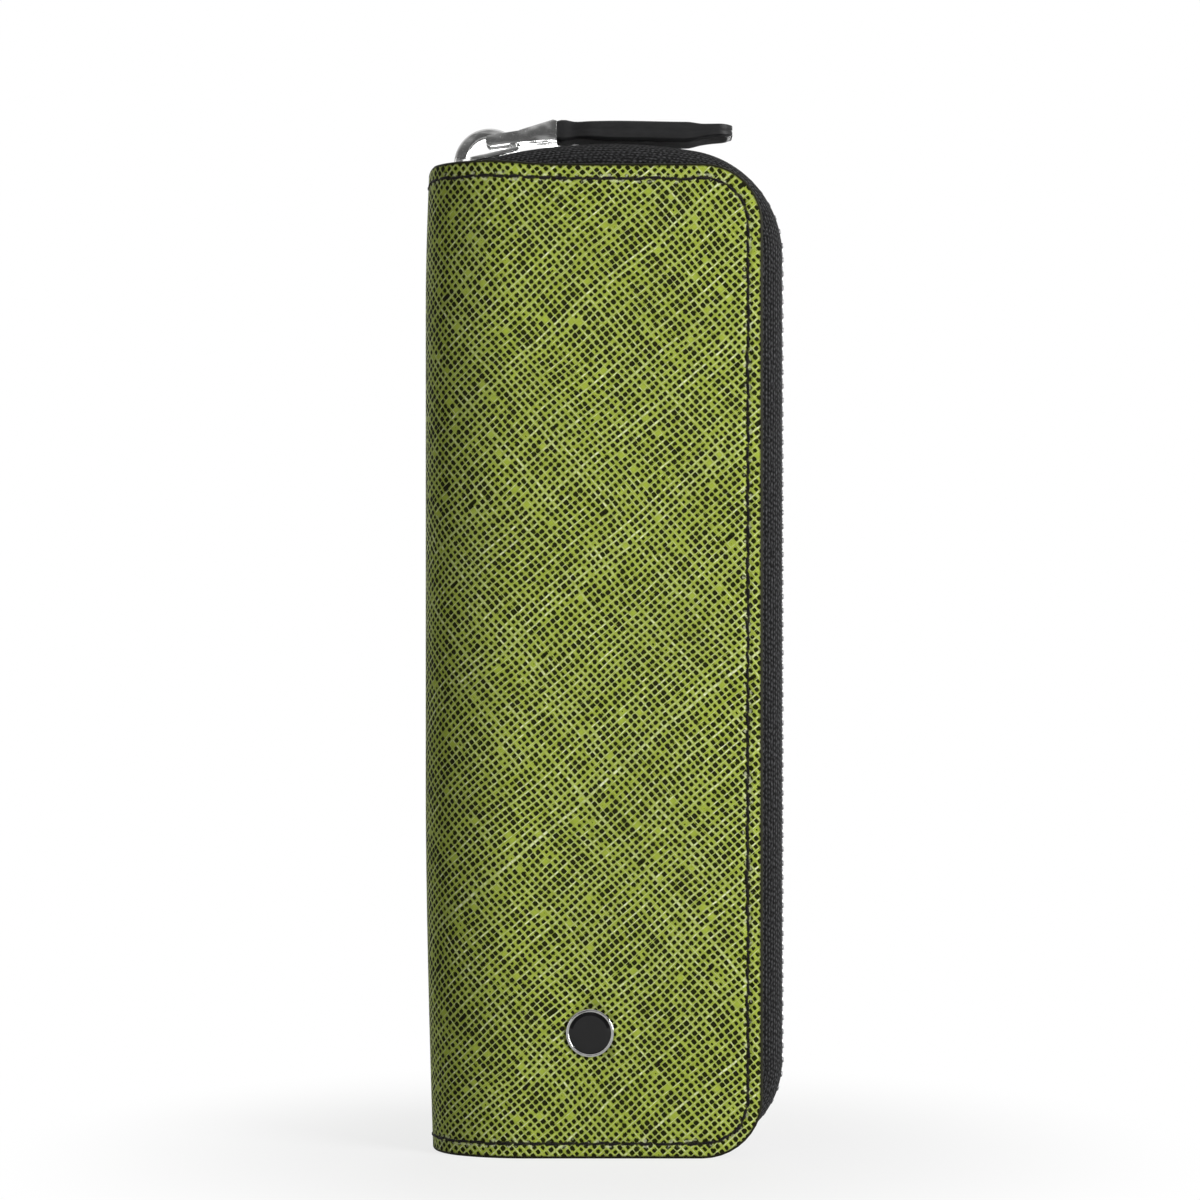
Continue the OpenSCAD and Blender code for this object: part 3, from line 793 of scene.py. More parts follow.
class Wrap:
    """The case's outer skin, flattened: s along it from the hinge line, right on the front.

    From the hinge line each half turns 60 degrees about the spine's tight radius, 30 more
    about the wide shoulder, and then runs flat to its free edge.
    """

    def __init__(self, sizes):
        self.half_t = -COVER_LOW.y
        self.spine_x = COVER_LOW.x
        self.height = COVER_HIGH.z
        self.tight_r = sizes.spine
        self.tight_turn = math.radians(60)
        turned = self.tight_r * math.sin(self.tight_turn)
        self.wide_r = (self.half_t - turned) / (1 - math.sin(self.tight_turn))
        self.axis_x = self.spine_x + self.tight_r
        self.flat_x = self.axis_x + (self.wide_r - self.tight_r) * math.cos(self.tight_turn)
        self.tight_len = self.tight_r * self.tight_turn
        self.round_len = self.tight_len + self.wide_r * (math.pi / 2 - self.tight_turn)
        self.half_width = self.round_len + COVER_HIGH.x - self.flat_x
        self.outline = (-self.half_width, self.half_width, 0, self.height)

    def rise(self, s, z):
        """How far the top edge bows up round the spine's two shoulders, most in between."""
        run = np.abs(s)
        most = 0.8 * MM
        bow = ease((run - 0.5 * MM) / (5 * MM)) * ease((self.round_len + 5 * MM - run) / (13 * MM))
        return most * bow * np.clip((z / self.height - 0.85) / 0.15, 0, 1)

    def pinch(self, z):
        """How far the spine draws in: 1.3 mm at its lower end and 0.6 mm at its upper one.

        Each fades as the power 1.6 of the way that is left of its reach.
        """
        low_reach, high_reach = 62 * MM, 22 * MM
        low = np.clip(1 - z / low_reach, 0, 1) ** 1.6 * 1.3 * MM
        high = np.clip(1 - (self.height - z) / high_reach, 0, 1) ** 1.6 * 0.6 * MM
        return low + high

    def place(self, s, z, depth):
        """The point at s and z, a depth under the outer face.

        On the round part it lies at the radius less the depth from the middle of its arc.
        """
        run = np.abs(s)
        tight = run < self.tight_len
        wide_turn = self.tight_turn + (run - self.tight_len) / self.wide_r
        turn = np.clip(np.where(tight, run / self.tight_r, wide_turn), 0, math.pi / 2)
        radius = np.where(tight, self.tight_r, self.wide_r) - depth
        middle_x = np.where(tight, self.axis_x, self.flat_x)
        middle_y = np.where(tight, 0, self.half_t - self.wide_r)
        flat = run >= self.round_len
        x = np.where(flat, self.flat_x + run - self.round_len, middle_x - radius * np.cos(turn))
        y = np.where(flat, self.half_t - depth, middle_y + radius * np.sin(turn))
        x = x + self.pinch(z) * np.cos(turn)
        return np.stack([x, np.where(s > 0, -y, y), z + self.rise(s, z) + 0 * x], -1)

    def bends(self, margin=0.0):
        """Close places across the spine, where the skin is curved."""
        half = np.linspace(0, self.round_len - margin, 26)
        return np.concatenate([-half[::-1], half])


class ZipPath:
    """The tape's path round the case: an arch, a corner, the side, a corner, the bottom."""

    def __init__(self):
        proud_side, proud_top = 3.45 * MM, 4.2 * MM
        top_share = 0.55      # where the arch is highest, of the way across the covers
        last_x = -23.2 * MM   # where the path ends on the bottom
        self.path_x = COVER_HIGH.x + proud_side
        self.arch_r, self.upper_r, self.lower_r = 90 * MM, 18 * MM, 15 * MM
        self.floor_z = 0.8 * MM
        self.arch_x = COVER_LOW.x + top_share * (COVER_HIGH.x - COVER_LOW.x)
        self.arch_z = COVER_HIGH.z + proud_top - self.arch_r
        self.upper_x = self.path_x - self.upper_r
        self.upper_turn = math.asin((self.upper_x - self.arch_x) / (self.arch_r - self.upper_r))
        self.upper_z = self.arch_z + (self.arch_r - self.upper_r) * math.cos(self.upper_turn)
        self.lower_x = self.path_x - self.lower_r
        self.lower_z = self.floor_z + self.lower_r
        self.start_turn = math.radians(-18.63)
        arch_len = self.arch_r * (self.upper_turn - self.start_turn)
        upper_len = self.upper_r * (math.pi / 2 - self.upper_turn)
        self.ends = np.cumsum([arch_len, upper_len, self.upper_z - self.lower_z, self.lower_r * math.pi / 2])
        self.total = self.ends[3] + self.lower_x - last_x

    def place(self, run, aside, out, side):
        """The point at run along the path, aside from the hinge plane and out of the case.

        On an arc it lies at the radius plus out from the arc's middle.
        """
        arch, upper, straight, lower = self.ends
        turns = (
            self.start_turn + run / self.arch_r,
            self.upper_turn + (run - arch) / self.upper_r,
            math.pi / 2 + (run - straight) / self.lower_r,
        )
        arcs = [
            (self.arch_x, self.arch_z, self.arch_r, turns[0]),
            (self.upper_x, self.upper_z, self.upper_r, turns[1]),
            (self.lower_x, self.lower_z, self.lower_r, turns[2]),
        ]
        round_x = [x + (r + out) * np.sin(turn) for x, z, r, turn in arcs]
        round_z = [z + (r + out) * np.cos(turn) for x, z, r, turn in arcs]
        where = [run <= arch, run <= upper, run <= straight, run <= lower]
        side_x, side_z = self.path_x + out, self.upper_z - (run - upper)
        base_x, base_z = self.lower_x - (run - lower), self.floor_z - out
        x = np.select(where, [round_x[0], round_x[1], side_x + 0 * run, round_x[2]], base_x)
        z = np.select(where, [round_z[0], round_z[1], side_z, round_z[2]], base_z)
        return np.stack(np.broadcast_arrays(x, side * aside, z), -1)

    def cuts(self, x, out):
        """Where the path crosses a given x at its start and at its end."""
        turn = np.arcsin((x - self.arch_x) / (self.arch_r + out))
        return (turn - self.start_turn) * self.arch_r, self.ends[3] + self.lower_x - x

    def stations(self, first, last):
        """Places along the path, close on the corners and wide on the straights."""
        arch, upper, straight, lower = self.ends
        parts = [
            np.linspace(0, arch, 42),
            np.linspace(arch, upper, 30),
            np.linspace(upper, straight, 60),
            np.linspace(straight, lower, 26),
            np.linspace(lower, self.total, 20),
        ]
        every = np.unique(np.round(np.concatenate(parts), 7))
        return np.concatenate([[first], every[(every > first) & (every < last)], [last]])


def case_sizes():
    """The sizes that the user has set."""
    return bpy.context.scene.pen_case_sizes


def case_colours():
    """The colours that the user has set."""
    return bpy.context.scene.pen_case_colours


def material_once(name, make, *details):
    """The material of that name, made only if there is none yet."""
    return bpy.data.materials.get(name) or make(*details)


def leather_black():
    """The leather inside the case. The frame's plain finish has this name, so it is the one used."""
    return material_once("black_leather", black_leather, case_colours())


def thread():
    """The sewing thread of every seam."""
    return material_once("sewing_thread", thread_fibre, case_colours())


def steel():
    """The plating of the slider, its bridge and the clasp."""
    return material_once("plated_steel", metal, "plated_steel", case_colours().steel, 0.12, 0.10, 0.16)


def sew(name, line, place, body):
    """A seam of small stitches along the straight lines through points, carried by a body."""
    pitch = case_sizes().stitch
    spots = even_spots(*np.array(line, float).T, pitch)
    seam = stitches(name, spots, place, pitch, INNER_THREAD, thread())
    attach(seam, body)


def over_hinge(piece):
    """Bakes the transform of a skin over the spine into its mesh."""
    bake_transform(piece)


class LeatherWrap(bpy.types.Operator):
    """One sheet of crosshatched leather over the front, the spine and the back"""

    bl_idname = "pen_case.leather_wrap"
    bl_label = "Leather wrap"

    def execute(self, context):
        sizes, colours = case_sizes(), case_colours()
        wrap = Wrap(sizes)
        green = crosshatch_leather(colours, sizes, wrap.half_width, wrap.height)
        skin = sheet(
            "leather_wrap",
            wrap.outline,
            sizes.corner,
            sizes.leather,
            sizes.edge,
            wrap.place,
            (green, edge_ink(colours), flesh_side(colours)),
            bends=wrap.bends(),
        )
        self.seat_emblem(skin)
        over_hinge(skin)
        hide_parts("front_cover", "back_cover")
        2 * wrap.half_width
        return {"FINISHED"}

    def seat_emblem(self, skin):
        """Cuts the emblem's round seat into the front, from 1 mm before the rim to its back."""
        low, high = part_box("emblem_rim")
        cutter = Shell()
        turn = np.linspace(0, 2 * math.pi, 49)
        r = (high.x - low.x) / 2
        radius = np.array([0, r, r, 0])[:, None]
        y = np.array([low.y - MM, low.y - MM, high.y, high.y])[:, None] + 0 * turn
        x = (low.x + high.x) / 2 + radius * np.cos(turn)
        z = (low.z + high.z) / 2 + radius * np.sin(turn)
        cutter.add(np.stack([x, y, z], -1), flat_uv(x, z))
        tool = cutter.build("emblem_seat")
        cut = skin.modifiers.new("emblem_seat", "BOOLEAN")
        cut.operation = "DIFFERENCE"
        cut.solver = "EXACT"
        cut.object = tool
        settle(skin)
        bpy.data.objects.remove(tool)


class Stitching(bpy.types.Operator):
    """The seam of black thread round the leather wrap"""

    bl_idname = "pen_case.stitching"
    bl_label = "Stitching"

    def execute(self, context):
        sizes = case_sizes()
        wrap = Wrap(sizes)
        spots = along_ring(wrap.outline, sizes.corner, sizes.stitch_inset, sizes.stitch)
        seam = stitches("cover_stitching", spots, wrap.place, sizes.stitch, sizes.thread, thread())
        over_hinge(seam)
        return {"FINISHED"}


class BoardsAndPads(bpy.types.Operator):
    """The stiffening boards, and the thin wadding under the linings"""

    bl_idname = "pen_case.boards_and_pads"
    bl_label = "Boards and pads"

    def execute(self, context):
        colours = case_colours()
        board = pressed_board(colours)
        wadding = soft_wadding(colours)
        for half, side in (("front", FRONT), ("back", BACK)):
            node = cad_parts[half + "_board"]
            node.data.materials.clear()
            node.data.materials.append(board)
            pad = zip_panel(half + "_wadding", half + "_pad", WADDING_INSET, side, wadding, 0.1 * MM)
            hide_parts(half + "_pad")
            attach(pad, half)
        return {"FINISHED"}


def zip_panel(name, node, inset, side, material, edge):
    """A flat panel in a node's place, from its straight left edge to a line inset from the zip's path.

    Each row runs level from the left edge to the line, round its rim, which is round with
    radius edge, and back.
    """
    low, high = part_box(node)
    left = low.x
    near, far = sorted((abs(low.y), abs(high.y)))
    path = ZipPath()
    first, last = path.cuts(left, -inset)
    run = path.stations(float(first), float(last))[:, None]
    turn = np.linspace(0, math.pi / 2, 4)
    rim = edge * (1 - np.sin(turn))
    lift = edge * (1 - np.cos(turn))
    share = np.linspace(0, 1, 5)[:-1]
    fraction = np.concatenate([share, np.ones(8), share[::-1], [0]])
    out = -inset - np.concatenate([np.full(4, edge), rim, rim[::-1], np.full(5, edge)])
    aside = np.concatenate([np.full(4, near), near + lift, far - lift[::-1], np.full(4, far), [near]])
    edge_points = path.place(run, aside[None, :] + 0 * run, out[None, :] + 0 * run, side)
    top, bottom = edge_points[0, 0, 2], edge_points[-1, 0, 2]
    left_x = np.full(edge_points.shape[:2], left)
    left_z = np.clip(edge_points[..., 2], bottom, top)
    start = np.stack([left_x, edge_points[..., 1], left_z], -1)
    points = start + (edge_points - start) * fraction[None, :, None]
    shell = Shell()
    shell.add(points, flat_uv(points[..., 0], points[..., 2]))
    return shell.build(name, material)


class Linings(bpy.types.Operator):
    """The twill linings of both covers, and the one that runs over the spine"""

    bl_idname = "pen_case.linings"
    bl_label = "Linings"

    def execute(self, context):
        sizes, colours = case_sizes(), case_colours()
        twill = woven("twill_lining", colours.lining, 0.32, 0.64, 0.55, 0.05 * MM)
        edge, area_share = 0.25 * MM, 0.985      # the cloth's rounded rim, and its area, of its box
        for half, side in (("front", FRONT), ("back", BACK)):
            panel = zip_panel(half + "_cloth", half + "_lining", LINING_INSET, side, twill, edge)
            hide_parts(half + "_lining")
            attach(panel, half)
            low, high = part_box(half + "_lining")
        wrap = Wrap(sizes)
        low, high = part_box("front_spine_lining")
        reach = wrap.round_len
        box = (-reach, reach, low.z, high.z)
        thickness = 0.6 * MM

        def inside(s, z, depth):
            """The leather's surface, moved in by its thickness."""
            return wrap.place(s, z, depth + sizes.leather)

        bends = wrap.bends(2 * MM)
        spine = sheet("spine_cloth", box, 1 * MM, thickness, edge, inside, (twill,), bends=bends)
        over_hinge(spine)
        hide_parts("front_spine_lining", "back_spine_lining")
        2 * reach
        return {"FINISHED"}


class ZipTapes(bpy.types.Operator):
    """The two woven tapes of the zip, bowed out between the covers"""

    bl_idname = "pen_case.zip_tapes"
    bl_label = "Zip tapes"

    def execute(self, context):
        colours = case_colours()
        weave = woven("zip_tape", colours.tape, 0.56, 0.9, 0.5, 0.16 * MM, 0.02, 4.2)
        for half, side in (("front", FRONT), ("back", BACK)):
            tape = self.tape(half + "_zip_tape", side, weave)
            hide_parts(half + "_tape")
            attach(tape, half)
        return {"FINISHED"}

    def tape(self, name, side, weave):
        """The cross-section, flat, bowed 70 degrees and straight, carried along the path.

        The toothed edge is a bead: the half thickness grows there as a bell curve. Both
        ends are cut slanting to clear the spine.
        """
        half_t, bow_r, edge_y = 0.25 * MM, 5 * MM, 1.4 * MM
        bead_t, bead_reach = 0.2 * MM, 0.6 * MM
        flat_len, seam_len = 3.452 * MM, 5.2 * MM
        bow = math.radians(70)
        bow_len = bow_r * bow
        middle = np.concatenate(
            [
                np.linspace(0, flat_len, 9),
                flat_len + np.linspace(0, bow_len, 11)[1:],
                flat_len + bow_len + np.linspace(0, seam_len, 5)[1:],
            ]
        )
        turn = np.clip((middle - flat_len) / bow_r, 0, bow)
        past_flat = middle > flat_len
        aside = np.where(past_flat, edge_y + flat_len + bow_r * np.sin(turn), edge_y + middle)
        out = -bow_r * (1 - np.cos(turn)) - np.clip(middle - flat_len - bow_len, 0, None)
        lean = np.where(middle > flat_len + bow_len + 0.1 * MM, math.pi / 2, turn)
        thick = half_t + bead_t * np.exp(-((middle / bead_reach) ** 2))
        upper = np.stack([aside + thick * np.sin(lean), out + thick * np.cos(lean)])
        lower = np.stack([aside - thick * np.sin(lean), out - thick * np.cos(lean)])
        round_edge = np.linspace(math.pi / 2, -math.pi / 2, 7)[1:-1]
        bead = np.stack([edge_y - thick[0] * np.cos(round_edge), -thick[0] * np.sin(round_edge)])
        loop = np.concatenate([upper, lower[:, ::-1], bead, upper[:, :1]], 1)
        across = np.concatenate([middle, middle[::-1], np.zeros(5), [0]])

        # Past slant_from off the hinge plane, the ends' cut moves slant_x inwards for each slant_y.
        slant_from, slant_x, slant_y = 4 * MM, 13.2, 6.2
        path = ZipPath()
        x_cut = COVER_LOW.x + 3.4 * MM + (loop[0] - slant_from) * slant_x / slant_y
        cut_start, cut_end = path.cuts(x_cut, loop[1])
        slanting = loop[0] > slant_from
        first = np.where(slanting, np.maximum(cut_start, 0), 0)
        last = np.where(slanting, np.minimum(cut_end, path.total), path.total)
        every = path.stations(0, path.total)[:, None]
        run = np.clip(every, first[None, :], last[None, :])
        points = path.place(run, loop[0][None, :] + 0 * run, loop[1][None, :] + 0 * run, side)
        shell = Shell()
        uv = np.stack([run / MM, across[None, :] / MM + 0 * run], -1)
        shell.add(points, uv)
        count = len(middle)
        for end in (0, -1):
            cap = np.stack([points[end, :count], points[end, count : 2 * count][::-1]])
            shell.add(cap, np.stack([uv[end, :count], uv[end, count : 2 * count][::-1]]))
        return shell.build(name, weave, crease=30)


class ZipTeeth(bpy.types.Operator):
    """The zip's teeth and stops, with their stamped edges rounded"""

    bl_idname = "pen_case.zip_teeth"
    bl_label = "Zip teeth"

    def execute(self, context):
        colours = case_colours()
        plated = metal("plated_teeth", colours.teeth, 0.24, 0.18, 0.35)
        for half in ("front", "back"):
            for part in ("top_teeth", "side_teeth", "zip_stops"):
                node = f"{half}_{part}"
                piece = softened(node, node + "_plated", 0.16 * MM, plated, steps=1, crease=50)
                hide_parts(node)
                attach(piece, half)
        return {"FINISHED"}


class Slider(bpy.types.Operator):
    """The slider, its bridge and the clasp, polished and rounded"""

    bl_idname = "pen_case.slider"
    bl_label = "Slider"

    def execute(self, context):
        for node, body, width in (
            ("slider_body", "slider", 0.14 * MM),
            ("slider_bridge", "slider", 0.35 * MM),
            ("puller_clasp", "puller", 0.22 * MM),
        ):
            piece = softened(node, node + "_polished", width, steel(), steps=3)
            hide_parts(node)
            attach(piece, body)
        return {"FINISHED"}


class PullerTab(bpy.types.Operator):
    """The doubled leather tab, drawn in where the clasp holds it"""

    bl_idname = "pen_case.puller_tab"
    bl_label = "Puller tab"

    def execute(self, context):
        colours = case_colours()
        low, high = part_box("puller_tab")
        thickness = high.z - low.z
        corner, arris, groove = 2.6 * MM, 0.9 * MM, 0.12 * MM
        neck = low.x + 4.1 * MM
        collar = low.x + 2.9 * MM

        def place(s, w, depth):
            """Narrow at the neck, swollen at the collar, and a little wavy.

            The width eases from 0.72 of the full one to the full one, the collar swells as a
            bell curve, the height follows a sine, the far end thins, and the middle sags.
            """
            width = 0.72 + 0.28 * ease((s - neck) / (3.5 * MM))
            swell = np.exp(-(((s - collar) / (1.5 * MM)) ** 2))
            far = ease((s - neck) / (8 * MM))
            wave = 0.10 * MM * np.sin((s - neck) / (4.6 * MM)) * far
            thin = 1.20 - 0.28 * ease((s - high.x + 8 * MM) / (3 * MM))
            belly = ease((s - neck) / (8 * MM)) * ease((high.x - 2 * MM - s) / (6 * MM))
            sag = 0.55 * MM * belly * depth / thickness
            middle = (low.z + high.z) / 2
            z = middle + (thickness / 2 - depth) * (thin + 0.32 * swell) + wave - sag
            return np.stack([s, w * (width + 0.06 * swell), z], -1)

        tab = sheet(
            "leather_tab",
            (low.x, high.x, low.y, high.y),
            corner,
            thickness,
            arris,
            place,
            (tab_leather(colours), tab_edge(colours)),
            step=0.7 * MM,
            rim=rounded_rim(corner, thickness, arris, 2, groove),
        )
        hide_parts("puller_tab")
        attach(tab, "puller")
        return {"FINISHED"}


def tab_leather(colours):
    """Smooth glossy leather above, and matt leather below whose darker colour is painted shade."""
    g = graph("tab_leather")
    spot = g.place()
    low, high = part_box("puller_tab")
    middle = (low.z + high.z) / 2 / MM
    # above is 1 on the glossier upper half; in the colour it lightens the top, leaving the underside in
    # painted shade.
    above = g.smooth(g.split(spot)[2], middle - 0.5, middle + 0.2)
    worn = g.noise(spot, 0.25, 3.0)
    pores = g.noise(spot, 3.0, 3.0)
    return g.finish(
        {
            "Base Color": g.tint(colours.black_leather, worn * 0.5 + pores * 0.5 + above * 0.4 + 0.2),
            "Roughness": 0.9 - above * 0.45 + worn * 0.1,
            "Coat Weight": above * 0.35,
            "Normal": g.relief(pores, 0.05 * MM),
        },
        {"Specular IOR Level": 0.05, "Coat Roughness": 0.25},
    )


def tab_edge(colours):
    """Glossy edge paint, laid on a little unevenly."""
    g = graph("tab_edge_paint")
    spot = g.place()
    ripple = g.stretched(spot, (0.35, 1.0, 1.0), 1.1, 3.0)
    return g.finish(
        {
            "Base Color": g.tint(colours.black_leather, ripple * 0.9 + 0.5),
            "Roughness": ripple * 0.2 + 0.45,
            "Normal": g.relief(ripple, 0.12 * MM),
        },
        {"Specular IOR Level": 0.25},
    )


class Emblem(bpy.types.Operator):
    """The plain round emblem: a polished rim and a bare black disc"""

    bl_idname = "pen_case.emblem"
    bl_label = "Emblem"

    def execute(self, context):
        colours = case_colours()
        bright = metal("bright_rim", colours.steel, 0.08, 0.05, 0.1)
        rim = softened("emblem_rim", "emblem_ring", 0.12 * MM, bright, steps=3)
        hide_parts("emblem_rim")
        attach(rim, "front")
        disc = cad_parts["emblem_disc"]
        disc.data.materials.clear()
        disc.data.materials.append(black_enamel(colours))
        return {"FINISHED"}


def pen_band(name, middle_x, low_z, high_z, material):
    """A band that stands on the back lining and bows round a pen: leg, half circle, leg."""
    low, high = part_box("pen_loop_left")
    thickness = BAND_LEATHER
    radius = (high.x - low.x - thickness) / 2
    foot = high.y
    middle_y = low.y + thickness / 2 + radius
    leg = foot - middle_y
    bend = math.pi * radius

    def place(s, z, depth):
        """The turn round the half circle grows from 0 to pi between the two legs."""
        turn = np.clip((s - leg) / radius, 0, math.pi)
        x = middle_x - (radius + thickness / 2 - depth) * np.cos(turn)
        on_leg = np.where(s < leg, leg - s, np.where(s > leg + bend, s - leg - bend, 0))
        y = middle_y - (radius + thickness / 2 - depth) * np.sin(turn) + on_leg
        return np.stack([x, y, z + 0 * x], -1)

    bends = np.linspace(leg, leg + bend, 33)
    box = (0, 2 * leg + bend, low_z, high_z)
    band = sheet(name, box, 0.45 * MM, thickness, 0.3 * MM, place, (material,), bends=bends)
    return band, box


class PenHolders(bpy.types.Operator):
    """The strip, the two elastic loops and the leather sleeve for the pens"""

    bl_idname = "pen_case.pen_holders"
    bl_label = "Pen holders"

    def execute(self, context):
        colours = case_colours()
        ribbed = woven("ribbed_elastic", colours.elastic, 0.9, 0.45, 0.5, 0.16 * MM)
        for node in ("pen_loop_left", "pen_loop_right"):
            low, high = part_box(node)
            loop, box = pen_band(node + "_elastic", (low.x + high.x) / 2, low.z, high.z, ribbed)
            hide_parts(node)
            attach(loop, "back")
        strip = self.backing("loop_strip_leather", "loop_strip")
        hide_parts("loop_strip")
        self.sleeve()
        return {"FINISHED"}

    def backing(self, name, node):
        """A flat leather strip on the back lining, sewn down along both ends."""
        low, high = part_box(node)

        def place(s, z, depth):
            """Flat, with the depth towards the back."""
            return np.stack([s, STRIP_NEAR + depth + 0 * s, z + 0 * s], -1)

        box = (low.x, high.x, low.z, high.z)
        thickness = STRIP_FAR - STRIP_NEAR
        piece = sheet(name, box, 1.2 * MM, thickness, 0.25 * MM, place, (leather_black(),))
        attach(piece, "back")
        inset = 1.1 * MM
        for tag, x in (("left", low.x + inset), ("right", high.x - inset)):
            sew(f"{name}_{tag}_seam", [(x, low.z + MM), (x, high.z - MM)], place, "back")
        return piece

    def sleeve(self):
        """The backing sheet and two tall leather bands."""
        low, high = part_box("pen_sleeve")
        back = self.backing("pen_sleeve_back", "pen_sleeve")
        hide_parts("pen_sleeve")
        for node in ("pen_loop_left", "pen_loop_right"):
            loop_low, loop_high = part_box(node)
            name = node.replace("pen_loop", "pen_sleeve") + "_band"
            middle = (loop_low.x + loop_high.x) / 2
            band, box = pen_band(name, middle, low.z, high.z, leather_black())
            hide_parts("pen_sleeve")
            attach(band, "back")


class PocketAndFlap(bpy.types.Operator):
    """The slip pocket on the front lining, and the flap between pens and pocket"""

    bl_idname = "pen_case.pocket_and_flap"
    bl_label = "Pocket and flap"

    def execute(self, context):
        self.pocket()
        self.flap()
        return {"FINISHED"}

    def pocket(self):
        """A flat leather pocket, sewn down on three sides, with a hem along its open top."""
        low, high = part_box("slip_pocket")
        thickness = high.y - low.y
        middle = (low.x + high.x) / 2

        def place(s, z, depth):
            """Over its upper 30 mm it bows out by a cosine across, up to 0.35 mm at the top."""
            mouth = ease((z - high.z + 30 * MM) / (30 * MM))
            bow = 0.35 * MM * mouth * np.cos((s - middle) / (high.x - low.x) * math.pi)
            return np.stack([s, high.y - depth + bow, z + 0 * s], -1)

        box = (low.x, high.x, low.z, high.z)
        pocket = sheet("slip_pocket_leather", box, 1.5 * MM, thickness, 0.3 * MM, place, (leather_black(),))
        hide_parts("slip_pocket")
        inset, hem_z = 1.4 * MM, high.z - 2.2 * MM
        left, right = low.x + inset, high.x - inset
        top, bottom = high.z - inset, low.z + inset
        sides = [(left, top), (left, bottom), (right, bottom), (right, top)]
        sew("slip_pocket_side_seam", sides, place, "front")
        sew("slip_pocket_hem_seam", [(left, hem_z), (right, hem_z)], place, "front")
        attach(pocket, "front")

    def flap(self):
        """A leather leaf in the fold of the spine, with a seam along its three free sides."""
        low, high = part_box("divider_flap")
        thickness = BAND_LEATHER
        flat_y, bend_x, soft = low.y + thickness / 2, -17.4 * MM, 0.7 * MM
        slope = (-flat_y + 0.2 * MM) / (bend_x - low.x)
        root_clear = 2.2 * MM      # keeps the root off the spine's lining when the case is open
        root_x = low.x + root_clear
        wrap = Wrap(case_sizes())

        def place(s, z, depth):
            """A straight slope from the fold of the spine, eased into the flat part.

            The rise is the slope times soft ln(1 + e^((bend - s) / soft)). The root draws in
            with the spine towards its two ends.
            """
            rise = slope * soft * np.logaddexp(0, (bend_x - s) / soft)
            lean = np.arctan(slope / (1 + np.exp((s - bend_x) / soft)))
            up = thickness / 2 - depth
            drawn_in = wrap.pinch(z) * ease((bend_x - s) / (bend_x - root_x))
            x = s + drawn_in + up * np.sin(lean) * 0.9
            return np.stack([x, flat_y + rise + up * np.cos(lean), z + 0 * s], -1)

        box = (root_x, high.x, low.z, high.z)
        past_bend = bend_x + 3 * MM
        bends = np.linspace(bend_x - 3 * MM, past_bend, 13)
        black = (leather_black(),)
        flap = sheet("divider_flap_leather", box, 4 * MM, thickness, 0.3 * MM, place, black, bends=bends)
        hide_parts("divider_flap")
        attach(flap, "flap")
        inset = 2 * MM
        right, top, bottom = high.x - inset, high.z - inset, low.z + inset
        line = [(past_bend, top), (right, top), (right, bottom), (past_bend, bottom)]
        sew("divider_flap_seam", line, place, "flap")


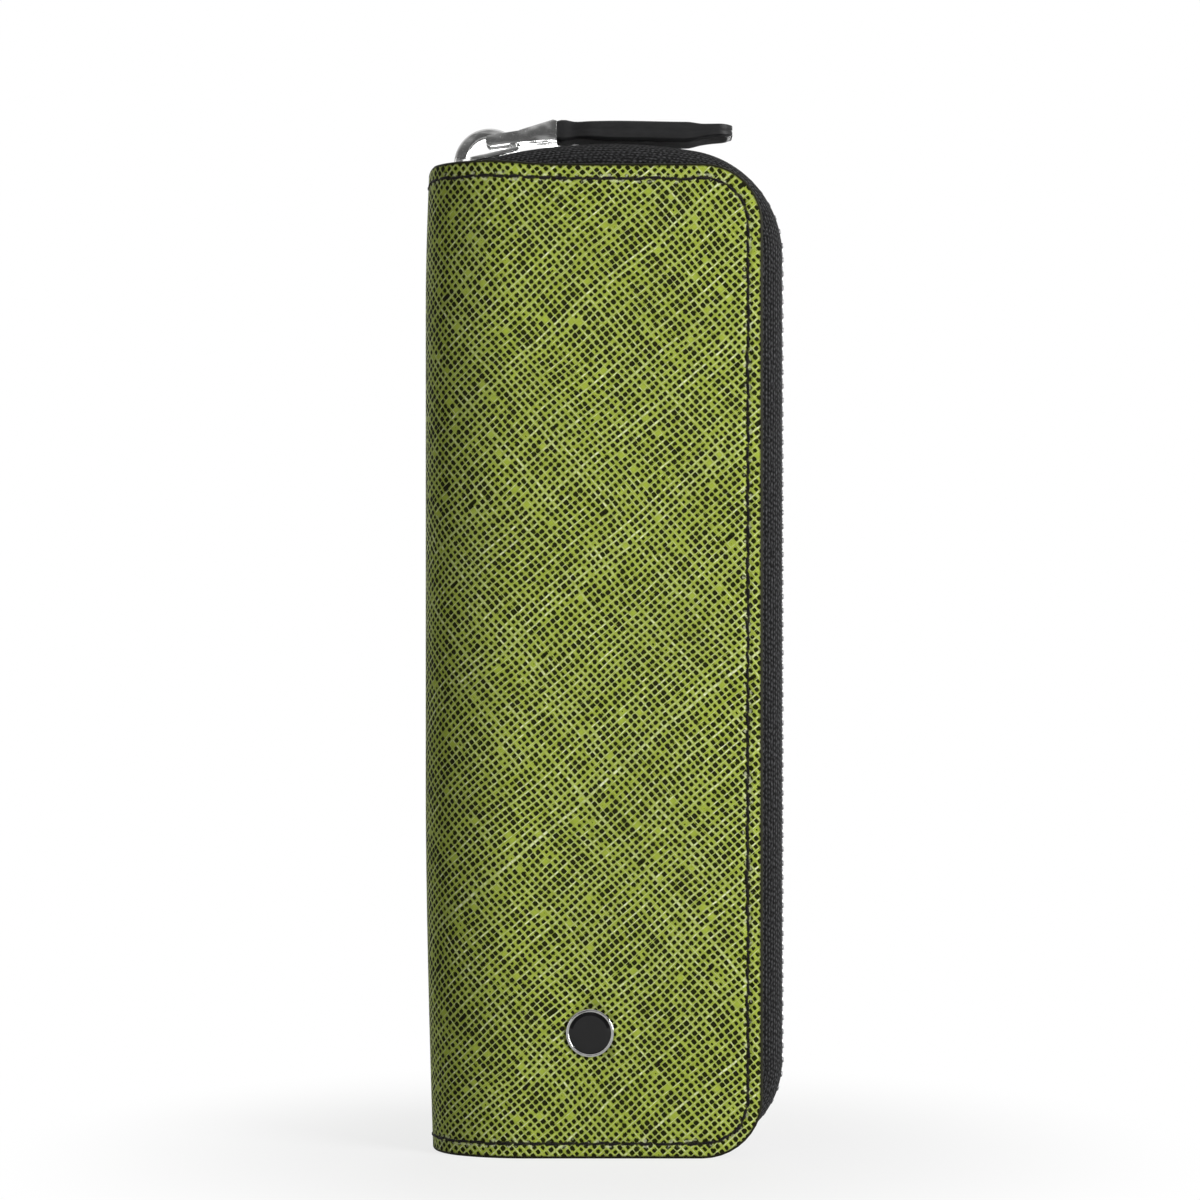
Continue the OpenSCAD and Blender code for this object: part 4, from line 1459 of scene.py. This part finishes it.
class Stage(bpy.types.Operator):
    """A pale floor, soft lamps and a level camera in front of the case"""

    bl_idname = "pen_case.stage"
    bl_label = "Stage"

    def execute(self, context):
        self.floor()
        self.world(context.scene)
        self.lamp("key_lamp", (0.87, -0.59, 0.25), 0.45, 15.2)
        self.lamp("fill_lamp", (-0.71, -0.71, 0.20), 0.6, 1.9)
        self.lamp("top_lamp", (0.1, -0.1, 1.1), 0.5, 0.2)
        self.lamp("back_lamp", (0.15, 0.95, 0.15), 0.5, 7.0)
        self.camera(context.scene)
        context.scene.view_settings.view_transform = "Standard"
        return {"FINISHED"}

    def lamp(self, name, place, size, power):
        """A square soft lamp that faces the middle of the case."""
        data = bpy.data.lights.new(name, "AREA")
        data.size = size
        data.energy = power
        lamp = bpy.data.objects.new(name, data)
        bpy.context.scene.collection.objects.link(lamp)
        lamp.location = place
        aim = lamp.location.copy()
        aim.z -= COVER_HIGH.z / 2
        lamp.rotation_euler = aim.to_track_quat("Z", "Y").to_euler()

    def background_rays(self, g):
        """1 for rays that see the background directly, less for those in a mirror or glass."""
        mirrored = g.mirrored()
        seen = g.ray("Is Camera Ray") + mirrored * 0.35
        return g.math("MINIMUM", seen, 1.0)

    def floor(self):
        """A wide floor: white to the eye, with the case's soft shadow near it."""
        g = graph("floor")
        x, y, _ = g.split(g.place())
        away = (x * x + y * y) ** 0.5
        white = g.smooth(away, 30.0, 110.0) * 0.22 + 0.78
        diffuse = g.node("ShaderNodeBsdfDiffuse", {}, {"Color": (0.8, 0.8, 0.8)})
        light = g.node("ShaderNodeEmission", {}, {"Color": (1.0, 1.0, 1.0), "Strength": 1.0})
        mixed = g.node(
            "ShaderNodeMixShader",
            {},
            {"Fac": self.background_rays(g) * white, "Shader": diffuse, "Shader_001": light},
        )
        g.node("ShaderNodeOutputMaterial", {}, {"Surface": mixed})
        ground = Shell()
        spread = np.linspace(-6, 6, 13)
        s, t = np.meshgrid(spread, spread)
        ground.add(np.stack([s, t, 0 * s], -1), flat_uv(s, t))
        floor = ground.build("floor", g.owner)

    def world(self, scene):
        """Even grey light, and white where the background is seen."""
        scene.world = scene.world or bpy.data.worlds.new("studio")
        g = Graph(scene.world)
        direction = g.node("ShaderNodeTexCoord", {}, {}, "Generated")
        _, ahead, up = g.split(direction)
        camera = g.ray("Is Camera Ray")
        mirrored = g.mirrored()
        bright = g.math("MAXIMUM", g.smooth(ahead, -0.1, 0.35), g.smooth(up, 0.25, 0.75))
        bright = bright * 0.85 + 0.15
        strength = g.math("MAXIMUM", camera, g.math("MINIMUM", mirrored, 1.0) * bright)
        strength = g.math("MAXIMUM", strength, 0.10)
        shine = g.node("ShaderNodeBackground", {}, {"Color": (1.0, 1.0, 1.0), "Strength": strength})
        g.node("ShaderNodeOutputWorld", {}, {"Surface": shine})

    def camera(self, scene):
        """A long lens, level and square to the front cover."""
        data = bpy.data.cameras.new("camera")
        data.lens = 87.0
        data.sensor_width = 36.0
        data.shift_y = 0.0508
        data.clip_start = 0.01
        eye = bpy.data.objects.new("camera", data)
        scene.collection.objects.link(eye)
        eye.location = (-0.73 * MM, -0.507, 85 * MM)
        eye.rotation_euler = (math.pi / 2, 0, 0)
        scene.camera = eye


PIECES = (
    LeatherWrap,
    Stitching,
    BoardsAndPads,
    Linings,
    ZipTapes,
    ZipTeeth,
    Slider,
    PullerTab,
    Emblem,
    PenHolders,
    PocketAndFlap,
    Stage,
)


class PenCasePanel(bpy.types.Panel):
    """Lists the case's pieces, sizes and colours"""

    bl_idname = "VIEW3D_PT_pen_case"
    bl_label = "Pen case"
    bl_space_type = "VIEW_3D"
    bl_region_type = "UI"
    bl_category = "Pen case"

    def draw(self, context):
        layout = self.layout
        for piece in PIECES:
            layout.operator(piece.bl_idname)
        for group in (case_sizes(), case_colours()):
            box = layout.box()
            for name in group.__annotations__:
                box.prop(group, name)


CLASSES = (CaseSizes, CaseColours, *PIECES, PenCasePanel)


def register():
    """Registers the classes, and hangs the sizes and colours on the scene."""
    for each in CLASSES:
        bpy.utils.register_class(each)
    bpy.types.Scene.pen_case_sizes = PointerProperty(type=CaseSizes)
    bpy.types.Scene.pen_case_colours = PointerProperty(type=CaseColours)


def unregister():
    """Undoes what register did."""
    del bpy.types.Scene.pen_case_colours
    del bpy.types.Scene.pen_case_sizes
    for each in reversed(CLASSES):
        bpy.utils.unregister_class(each)


def main():
    """Builds every piece in order."""
    register()
    for piece in PIECES:
        group, name = piece.bl_idname.split(".")
        getattr(getattr(bpy.ops, group), name)()


if __name__ == "__main__":
    main()
